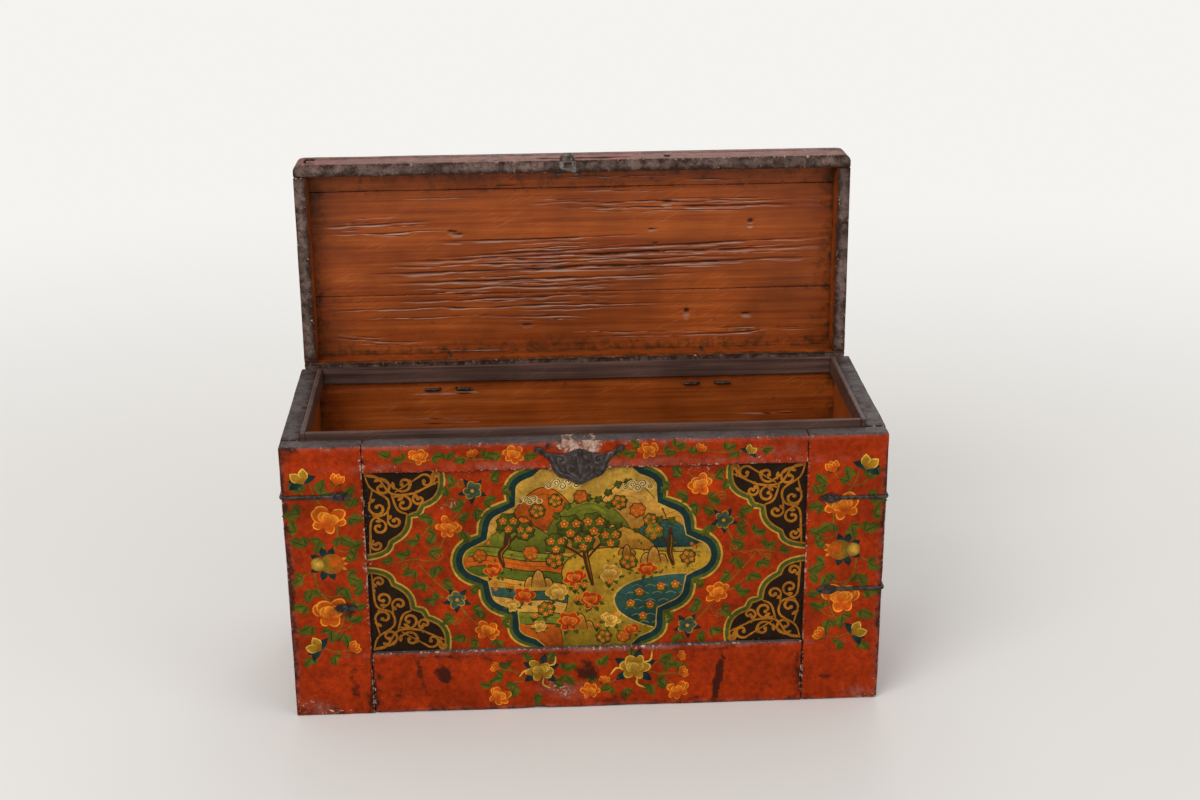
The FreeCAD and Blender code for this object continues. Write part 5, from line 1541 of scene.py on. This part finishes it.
FIELD_STEMS = [
    [(-214, 0), (-190, 4), (-172, 2), (-160, 20), (-152, 42), (-138, 62), (-126, 84), (-110, 100)],
    [(-190, 4), (-176, -14), (-162, -30), (-146, -46), (-136, -64), (-118, -84), (-100, -98)],
    [(-152, 42), (-170, 44), (-180, 32)], [(-146, -46), (-164, -42), (-176, -30)],
]
FIELD_CURLS = [
    ((-172, 2), (-164, 8), 6, 1), ((-190, 4), (-200, -4), 5, -1), ((-138, 62), (-148, 70), 6, 1),
    ((-136, -64), (-148, -72), 6, -1), ((-126, 84), (-136, 92), 5, 1),
]
FIELD_FLOWERS = (((-151, 41), (-112, -87)), ((-124, 84), (-145, -47)))
canvas = Canvas("field_flowers", PANEL_Y)
for hand in (1, -1):
    canvas.aim(0, PANEL_MIDDLE, hand)
    for stem in FIELD_STEMS:
        canvas.stroke(curve(stem), STEM_MM, STEM_GREEN, STEMS, BLUNT)
    for tail, middle, radius, turn in FIELD_CURLS:
        scroll(canvas, tail, middle, radius, turn, TWIG_MM, STEM_GREEN, STEMS)
    for place_and_size in FIELD_LEAVES:
        leaf(canvas, *place_and_size)
    # on the right side the two kinds change places
    peonies, blossoms = FIELD_FLOWERS[::hand]
    for x, z in peonies:
        peony(canvas, x, z, 13, 70)
    for x, z in blossoms:
        blossom(canvas, x, z, 12, 30)
print("field flowers:", len(canvas.hang().data.polygons), "faces")

# %% [markdown]
# ## The picture in the medallion
# The medallion holds a plain landscape in ochre, green and orange: hills with rows of bushes, terraced
# fields, a pond and a garden in flower. It is built up from the back, so that near things cover far ones.
# Larger shapes are cut by the medallion's own outline, and fine ink lines are drawn round most of them.

# %% Border and sky
INK = linear("#3E2109")
BORDER_BANDS = ((0.0, PALE_LINE), (2.4, BAND_GREEN), (6.2, linear("#16302F")), (13.2, PALE_LINE))
PICTURE_INSET = 14.6
# layers of the landscape above its hills, from the fields to the crowns of the trees
FIELD_LAYER, CLOUD_LAYER, MEADOW_LAYER, POND_LAYER, GRASS_LAYER = 22, 24, 31, 33, 35
GARDEN_LAYER, ROCK_LAYER, BUSH_LAYER, TRUNK_LAYER, CROWN_LAYER = 36, 38, 40, 46, 48
INK_MM, SHADE_MM = 1.2, 0.8
GREENS = (linear("#56601A"), linear("#2F3A0E"))
OLIVES = (linear("#7C7A22"), linear("#4A5014"))
OCHRES = (linear("#C08A30"), linear("#8A5614"))
CREAMS = (linear("#CC9A44"), linear("#A06820"))
ORANGES = (linear("#C25E14"), linear("#8E3A0A"))
TEALS = (linear("#35564A"), linear("#17332F"))

landscape = Canvas("medallion_picture", PANEL_Y)
landscape.aim(0, PANEL_MIDDLE)
for layer, (distance, colour) in enumerate(BORDER_BANDS):
    landscape.area([medallion(distance)], colour, colour, layer)
picture = medallion(PICTURE_INSET)
landscape.area([picture], linear("#86741A"), linear("#BE9038"), len(BORDER_BANDS))
print("medallion border:", PICTURE_INSET, "mm wide")

# %% Lines and clumps within the picture
def within(places, outline=picture):
    """Which places lie within an outline, which is that of the medallion's picture if none is given."""
    x, z = np.asarray(places).T
    a, b = outline, np.roll(outline, -1, axis=0)
    crossing = (a[:, 1] > z[:, None]) != (b[:, 1] > z[:, None])
    rise = np.where(np.abs(b[:, 1] - a[:, 1]) < 1e-9, 1e-9, b[:, 1] - a[:, 1])
    at = (b[:, 0] - a[:, 0]) * (z[:, None] - a[:, 1]) / rise + a[:, 0]
    return (crossing & (x[:, None] < at)).sum(1) % 2 == 1


def fits(x, z, reach):
    """Whether a round shape of this reach keeps clear of the medallion's border."""
    return within(oval(x, z, reach, reach)).all()


def outlined(path, width, colour, layer):
    """A stroke along a path, left out where it would leave the picture."""
    path = np.asarray(path)
    kept = within(path)
    turns = np.flatnonzero(np.diff(kept.astype(int))) + 1
    for start, run in zip([0, *turns], np.split(path, turns)):
        if kept[start] and len(run) > 2:
            landscape.stroke(run, width, colour, layer, 0.6)


def clump(x, z, size, tones, layer, count=7):
    """A leafy clump of round tufts with ink round their outer side."""
    if not fits(x, z, size):
        return
    draw = random.Random(round(7 * x + 13 * z))
    for number in range(count):
        turn = 90 + (number + 0.5) * 360 / count + draw.uniform(-14, 14)
        tuft = oval(*around(x, z, turn, size * 0.56), size * 0.46, size * 0.42, turn, 5, 0.08, 12)
        landscape.fill(tuft, tones[0], tones[1], layer, around(x, z, 120, size))
        landscape.stroke(np.vstack([tuft[-3:], tuft[:4]]), SHADE_MM, INK, layer + 1)
    landscape.fill(oval(x, z, size * 0.5, size * 0.46, 0, 5, 0.08, 12), tones[0], tones[1], layer + 2)


print("the picture's middle is within it:", within([(0, 0)])[0])

# %% Hills
def hill(x, foot, half, height, tones, layer, bushes):
    """A round hill with an ink outline, lines of shading inside it and bushes along its crest."""
    run = np.linspace(-1, 1, 25)
    crest = np.column_stack([x + half * run, foot + height * np.cos(run * math.pi / 2) ** 0.8])
    below = [(x + half, foot - 8), (x - half, foot - 8)]
    landscape.area([picture, np.vstack([crest, below])], tones[1], tones[0], layer)
    outlined(crest, 1.1, INK, layer + 1)
    for share in (0.5, 0.66, 0.82):
        inner = (crest - (x, foot)) * share + (x, foot)
        outlined(inner[5:20], 0.9, tones[1], layer + 1)
    for spot in crest[3:-3][:: max(1, 19 // max(bushes, 1))][:bushes]:
        clump(*spot, 4.6, GREENS, layer + 1, 5)


# each hill: x, foot, half width, height, tones, layer, bushes
HILLS = (
    (-96, 26, 46, 40, CREAMS, 6, 4), (100, 22, 46, 38, OCHRES, 6, 4), (-46, 42, 40, 44, ORANGES, 9, 0),
    (46, 40, 44, 50, CREAMS, 9, 5), (2, 34, 46, 38, OLIVES, 13, 6), (84, 18, 40, 26, TEALS, 16, 4),
    (-74, 16, 42, 28, OLIVES, 16, 5), (22, 14, 52, 26, OCHRES, 19, 5),
)
for place_and_looks in HILLS:
    hill(*place_and_looks)
print("hills:", len(HILLS))

# %% Clouds
CLOUD = linear("#E3C581")
CLOUD_EDGE = linear("#C09A54")
# each puff of a cloud: shift, rise and size, as shares of the cloud's size
PUFF_SHARES = ((-1.5, 0.0, 0.7), (1.5, 0.0, 0.75), (-0.6, 0.35, 0.9), (0.6, 0.4, 1.0), (0.0, -0.1, 0.9))


def cloud(x, z, size):
    """A cloud of overlapping puffs, each with a curl in it."""
    for number, (shift, rise, share) in enumerate(PUFF_SHARES):
        layer = CLOUD_LAYER + 2 * number
        middle = np.array((x + shift * size, z + rise * size))
        radius = size * share * 0.8
        landscape.fill(oval(*middle, radius, radius * 0.72), CLOUD, CLOUD_EDGE, layer)
        tail = middle - (radius * 0.9, radius * 0.2)
        scroll(landscape, tail, middle, radius * 0.6, -1, 1.0, INK, layer + 1)


for x, z, size in ((-26, 88, 10), (-62, 70, 7), (56, 84, 9)):
    cloud(x, z, size)
print("a cloud has", len(PUFF_SHARES), "puffs")

# %% Terraced fields, meadow and pond
PICTURE_REACH, PICTURE_FOOT = 150, -116
FIELD_END = -8
RIPPLE = linear("#6E8060")
# each terrace: height of its upper edge at the left and at the right, and its tones
TERRACES = (
    (14, 4, OLIVES), (3, -6, ORANGES), (-9, -18, GREENS), (-22, -30, OCHRES), (-35, -42, TEALS),
    (-46, -53, CREAMS), (-62, -68, OLIVES), (-78, -82, ORANGES),
)
for number, (left, right, tones) in enumerate(TERRACES):
    half_way = (-70, (left + right) / 2)
    edge_line = curve([
        (-PICTURE_REACH, left), (-110, left + 3), half_way, (-40, right + 2), (FIELD_END, right - 6)
    ])
    below = [(FIELD_END, PICTURE_FOOT), (-PICTURE_REACH, PICTURE_FOOT)]
    layer = FIELD_LAYER + number
    landscape.area([picture, np.vstack([edge_line, below])], tones[1], tones[0], layer)
    outlined(edge_line, INK_MM, INK, layer)
    outlined(edge_line - (0, 6), SHADE_MM, tones[1], layer)

pond = curve([
    (PICTURE_REACH, -30), (112, -22), (76, -24), (46, -32), (30, -48), (36, -68), (62, -84), (90, -90),
    (PICTURE_REACH, -92),
])
meadow = curve([
    (-26, PICTURE_FOOT), (-30, -84), (-22, -50), (-28, -14), (-10, 6), (30, 12), (80, 6), (PICTURE_REACH, 2),
])
corner = [(PICTURE_REACH, PICTURE_FOOT)]
landscape.area([picture, np.vstack([meadow, corner])], linear("#7E6416"), linear("#B98A26"), MEADOW_LAYER)
outlined(meadow, INK_MM, INK, MEADOW_LAYER + 1)
landscape.area([picture, pond], TEALS[1], TEALS[0], POND_LAYER)
outlined(np.vstack([pond, pond[:1]]), 2.0, PALE_LINE, POND_LAYER + 1)
for row, z in enumerate(range(-82, -28, 9)):
    for x in range(48 + 7 * (row % 2), 130, 15):
        outlined(curve([(x - 6, z), (x, z + 2.4), (x + 6, z)], 4), 1.0, RIPPLE, POND_LAYER + 1)
print("terraces:", len(TERRACES))

# %% Rocks, bushes and trees
BARK = linear("#45260E")
FLOWER_TONES = (linear("#8E2A05"), linear("#D4741C"))
# each peak of a rock: shift, height and half width, as shares of its size
PEAK_SHARES = ((-0.6, 0.9, 0.48), (0.65, 0.75, 0.48), (0.0, 1.4, 0.55))
PEAK_OUTLINE_SHARES = ((-1, 0), (-0.75, 0.62), (-0.15, 1), (0.5, 0.84), (0.8, 0.4), (1, 0))


def small_flower(x, z, size, layer):
    """Five round petals round a yellow eye, where there is room for them."""
    if not fits(x, z, size):
        return
    for turn in range(18, 378, 72):
        petal = oval(*around(x, z, turn, size * 0.55), size * 0.48, size * 0.42, turn, count=8)
        landscape.fill(petal, *FLOWER_TONES, layer, (x, z))
    landscape.fill(oval(x, z, size * 0.24, size * 0.24, count=7), OCHRE_LIGHT, OCHRE_LIGHT, layer + 1)


def rock(x, z, size, tones):
    """A standing rock of three blunt peaks with ink lines down it."""
    for number, (shift, height, half) in enumerate(PEAK_SHARES):
        middle = x + shift * size
        sides = [(middle + u * half * size, z + v * height * size) for u, v in PEAK_OUTLINE_SHARES]
        outline = curve(sides, 4)
        layer = ROCK_LAYER + 2 * number
        landscape.fill(outline, tones[1], tones[0], layer, (middle, z))
        landscape.stroke(outline, INK_MM, INK, layer + 1, 0.7)
        for lean in (-0.3, 0.25):
            line = [(middle + lean * half * size * v, z + height * size * v) for v in (0.82, 0.5, 0.2)]
            landscape.stroke(line, 1.0, tones[1], layer + 1, 0.6)


def bush(x, z, size, tones):
    """A clump with flowers on it."""
    clump(x, z, size, tones, BUSH_LAYER)
    for turn in range(40, 400, 72):
        small_flower(*around(x, z, turn, size * 0.55), size * 0.3, BUSH_LAYER + 4)


def flowering_tree(x, z, height, lean, crowns, tones):
    """A bent trunk with branches, each ending in a leafy crown with flowers."""
    top = np.array((x + lean, z + height))
    bends = [(x + lean * 0.1 - 4, z + height * 0.35), (x + lean * 0.8, z + height * 0.62)]
    trunk = curve([(x, z), *bends, top])
    landscape.stroke(trunk, 6.5, BARK, TRUNK_LAYER, 0.45)
    landscape.stroke(trunk[2:-3] + (1.0, 0.0), INK_MM, OCHRE_DARK, TRUNK_LAYER + 1)
    start = trunk[len(trunk) // 2]
    for shift, rise, size in crowns:
        middle = top + (shift, rise)
        if not fits(*middle, size):
            continue
        branch = curve([start, (start + middle) / 2 + (0, 3), middle])
        landscape.stroke(branch, 2.6, BARK, TRUNK_LAYER, 0.4)
        clump(*middle, size, tones, CROWN_LAYER)
        for turn in (30, 150, 270):
            small_flower(*around(*middle, turn, size * 0.5), size * 0.32, CROWN_LAYER + 4)


print("a rock has", len(PEAK_SHARES), "peaks")

# %% [markdown]
# ## Planting the garden
# With its kinds ready, the garden is a list of places. They could be scattered at random, but a painter
# spreads flowers, rocks and trees so that each can be seen, so all but the grass are listed one by one.

# %% Peonies, trees, rocks and bushes
RED_TONES = (linear("#8A2404"), linear("#B83C08"), linear("#DC7A20"))
GOLD_TONES = (linear("#94601A"), linear("#C48C30"), linear("#DFB458"))
for x, z, size, tones in (
    (-14, -24, 12, RED_TONES), (26, -20, 11, GOLD_TONES), (-34, -42, 11, GOLD_TONES),
    (4, -52, 12, RED_TONES), (-20, -78, 13, RED_TONES), (26, -76, 11, GOLD_TONES),
    (66, -16, 10, RED_TONES), (-104, -12, 10, RED_TONES), (-70, -44, 11, RED_TONES),
    (-84, -56, 8, GOLD_TONES), (50, -90, 8, RED_TONES), (-54, -82, 8, GOLD_TONES),
):
    for turn in (200, 250, 300, 340):
        foot = around(x, z, turn, size * 0.5)
        shape = blade(*foot, turn, size * 0.9, size * 0.5, 0.85, 0.0, 11, 0.3)
        landscape.fill(shape, *GREENS, GARDEN_LAYER, foot)
    peony(landscape, x, z, size, 90, tones, GARDEN_LAYER - 4)
# each crown: shift and rise from the top of its tree, size
MIDDLE_CROWNS = ((-30, -14, 13), (-14, 6, 15), (12, 8, 15), (30, -8, 13), (0, -12, 13))
LEFT_CROWNS = ((-16, -4, 11), (0, 8, 13), (18, -2, 11))
RIGHT_CROWNS = ((-18, -4, 11), (-2, 10, 13), (16, -2, 11))
flowering_tree(6, -34, 66, -10, MIDDLE_CROWNS, GREENS)
flowering_tree(-92, -8, 44, 6, LEFT_CROWNS, GREENS)
flowering_tree(96, -12, 46, -4, RIGHT_CROWNS, OLIVES)
for x, z, size, tones in (
    (-54, -34, 15, CREAMS), (74, -8, 14, CREAMS), (-8, -88, 14, OCHRES), (44, 2, 9, OCHRES),
):
    rock(x, z, size, tones)
for x, z, size, tones in (
    (-36, -2, 10, GREENS), (46, -6, 10, GREENS), (-106, -32, 9, GREENS), (-46, -62, 10, GREENS),
    (18, -98, 9, GREENS), (112, -2, 9, GREENS), (-62, 8, 9, ORANGES), (-118, 6, 8, ORANGES),
    (40, -98, 8, ORANGES), (-54, 58, 9, GREENS), (-34, 70, 8, GREENS), (36, 66, 9, GREENS),
    (56, 56, 9, ORANGES), (70, 44, 8, GREENS), (-70, 44, 8, ORANGES), (-112, 24, 8, GREENS),
    (120, 14, 7, GREENS), (-6, 74, 8, ORANGES),
):
    bush(x, z, size, tones)
print("shapes in the landscape so far:", len(landscape.spots))

# %% Water lilies and grass
for x, z in ((58, -44), (82, -38), (70, -60), (98, -36), (48, -58), (62, -74)):
    landscape.fill(oval(x, z - 2, 7, 3.4, 0, 7, 0.06, 16), *GREENS, GARDEN_LAYER)
    small_flower(x, z + 1, 4.6, GARDEN_LAYER + 2)
for x, z in (
    (-12, -58), (2, -66), (-14, -44), (30, -78), (-4, -42), (24, -38), (10, -92), (-60, -78), (-86, -40),
):
    for turn in (60, 80, 100, 120):
        blade_of_grass = [around(x, z, turn, reach) for reach in (0, 3, 6, 9)]
        landscape.stroke(blade_of_grass, 1.4, LEAF_DARK, GARDEN_LAYER + 2)
    small_flower(x + 1, z + 9, 3.4, GARDEN_LAYER + 4)
# tufts of grass lie all over the fields and the meadow, but not on the pond
TUFTS = 150
TUFT_ROOM_MM = 6
draw = random.Random(5)
for _ in range(TUFTS):
    x, z = draw.uniform(-130, 130), draw.uniform(-98, 20)
    if fits(x, z, TUFT_ROOM_MM) and not within([(x, z)], pond)[0]:
        for turn in (66, 90, 114):
            tuft = [around(x, z, turn, reach) for reach in (0, 2, 4)]
            tone = draw.choice((LEAF_DARK, LEAF, OCHRE_DARK, STEM_GREEN))
            landscape.stroke(tuft, TWIG_MM, tone, GRASS_LAYER)
print("medallion:", len(landscape.hang().data.polygons), "faces")

# %% [markdown]
# ## The lock plate
# The plate is sheet iron, cut to a lobed outline, with scrolls and borders beaten up from behind. A bump
# map would be flat at its edges, so the relief is in the mesh: a fine net of points, each lifted by how
# far it is from the rim and from the lines of the scrolls.

# %% Outline and scrolls of the plate
plate_low, plate_high = row_box("lock_plate")
PLATE_TOP = np.array(((plate_low[0] + plate_high[0]) / 2, plate_high[2]))
PLATE_SPAN = np.array(((plate_high[0] - plate_low[0]) / 2, plate_low[2] - plate_high[2]))
PLATE_GRID_MM = 1.1
# each border: distance from the rim, width and height in mm
PLATE_BORDERS = ((1.6, 0.9, 0.9), (5.2, 1.1, 1.3), (9.2, 1.1, 1.1))
PLATE_SCROLL_WIDTH_MM, PLATE_SCROLL_HEIGHT_MM = 1.3, 1.5
HAMMER_MM = 0.25
# outline of the right half, as shares of the plate's half width and height, from its top edge down
RIGHT_HALF_SHARES = lobes(
    (0, 0.1), (0.08, 0.105), (0.16, 0.14), (0.55, 0.21), (0.95, 0.0), (1.0, 0.06), (0.98, 0.13),
    (0.77, 0.28), (0.62, 0.5), (0.52, 0.74), (0.32, 0.84), (0.14, 0.95), (0, 1.0),
)
# each scroll of the right half: tail and middle as such shares, radius in mm, hand, turns
PLATE_SCROLLS = (
    ((0.9, 0.08), (0.42, 0.36), 6.0, 1, 1.2), ((0.0, 0.86), (0.17, 0.56), 6.0, 1, 0.7),
    ((0.0, 0.7), (0.1, 0.3), 3.5, -1, 0.8), ((0.5, 0.6), (0.7, 0.24), 3.0, -1, 0.8),
)


def to_line(spots, path):
    """Distance of each spot from a path."""
    start, ahead = path[:-1], path[1:] - path[:-1]
    off = spots[:, None] - start
    share = np.clip((off * ahead).sum(2) / np.maximum((ahead ** 2).sum(1), 1e-9), 0, 1)
    return np.linalg.norm(off - share[..., None] * ahead, axis=2).min(1)


print("lock plate:", (2 * PLATE_SPAN[0]).round(1), "x", -PLATE_SPAN[1].round(1), "mm")

# %% Beaten relief
left_half_shares = RIGHT_HALF_SHARES[-2:0:-1] * (-1, 1)
outline = np.vstack([RIGHT_HALF_SHARES, left_half_shares]) * PLATE_SPAN + PLATE_TOP
canvas = Canvas("lock_plate_iron", FRONT_Y)
canvas.area([outline], INK, INK, 0, PLATE_GRID_MM)
spots = canvas.spots[0]
from_rim = to_line(spots, np.vstack([outline, outline[:1]]))
low_part = np.clip((PLATE_TOP[1] - spots[:, 1]) / -PLATE_SPAN[1] * 3 - 0.8, 0, 1)
plain = 0.6 + 1.0 * (1 - np.exp(-from_rim / 1.4)) + 0.9 * np.clip(from_rim / 12, 0, 1)
raised = np.zeros(len(spots))
for distance, width, height in PLATE_BORDERS:
    raised = np.maximum(raised, height * low_part * np.exp(-((from_rim - distance) / width) ** 2))
mirrored = np.column_stack([np.abs(spots[:, 0] - PLATE_TOP[0]), spots[:, 1] - PLATE_TOP[1]])
for tail, middle, radius, hand, turns in PLATE_SCROLLS:
    line = winding(tail * PLATE_SPAN, middle * PLATE_SPAN, radius, hand, turns)
    beside = to_line(mirrored, line) / PLATE_SCROLL_WIDTH_MM
    raised = np.maximum(raised, PLATE_SCROLL_HEIGHT_MM * np.exp(-beside ** 2))
lift = plain + raised + HAMMER_MM * noise(on_front(*spots.T), 5, 7)
# ridges are lighter, as rubbed iron and as a painted highlight, and the hollows hold more rust
ridge = np.clip(raised - 0.75, -0.3, 0.6)
canvas.lifts = [lift]
canvas.hang(forged_iron, IRON_SLOT, ["lock_plate"], True, ridge=np.tile(ridge, 2))
print("lock plate relief:", round(lift.max(), 2), "mm high")
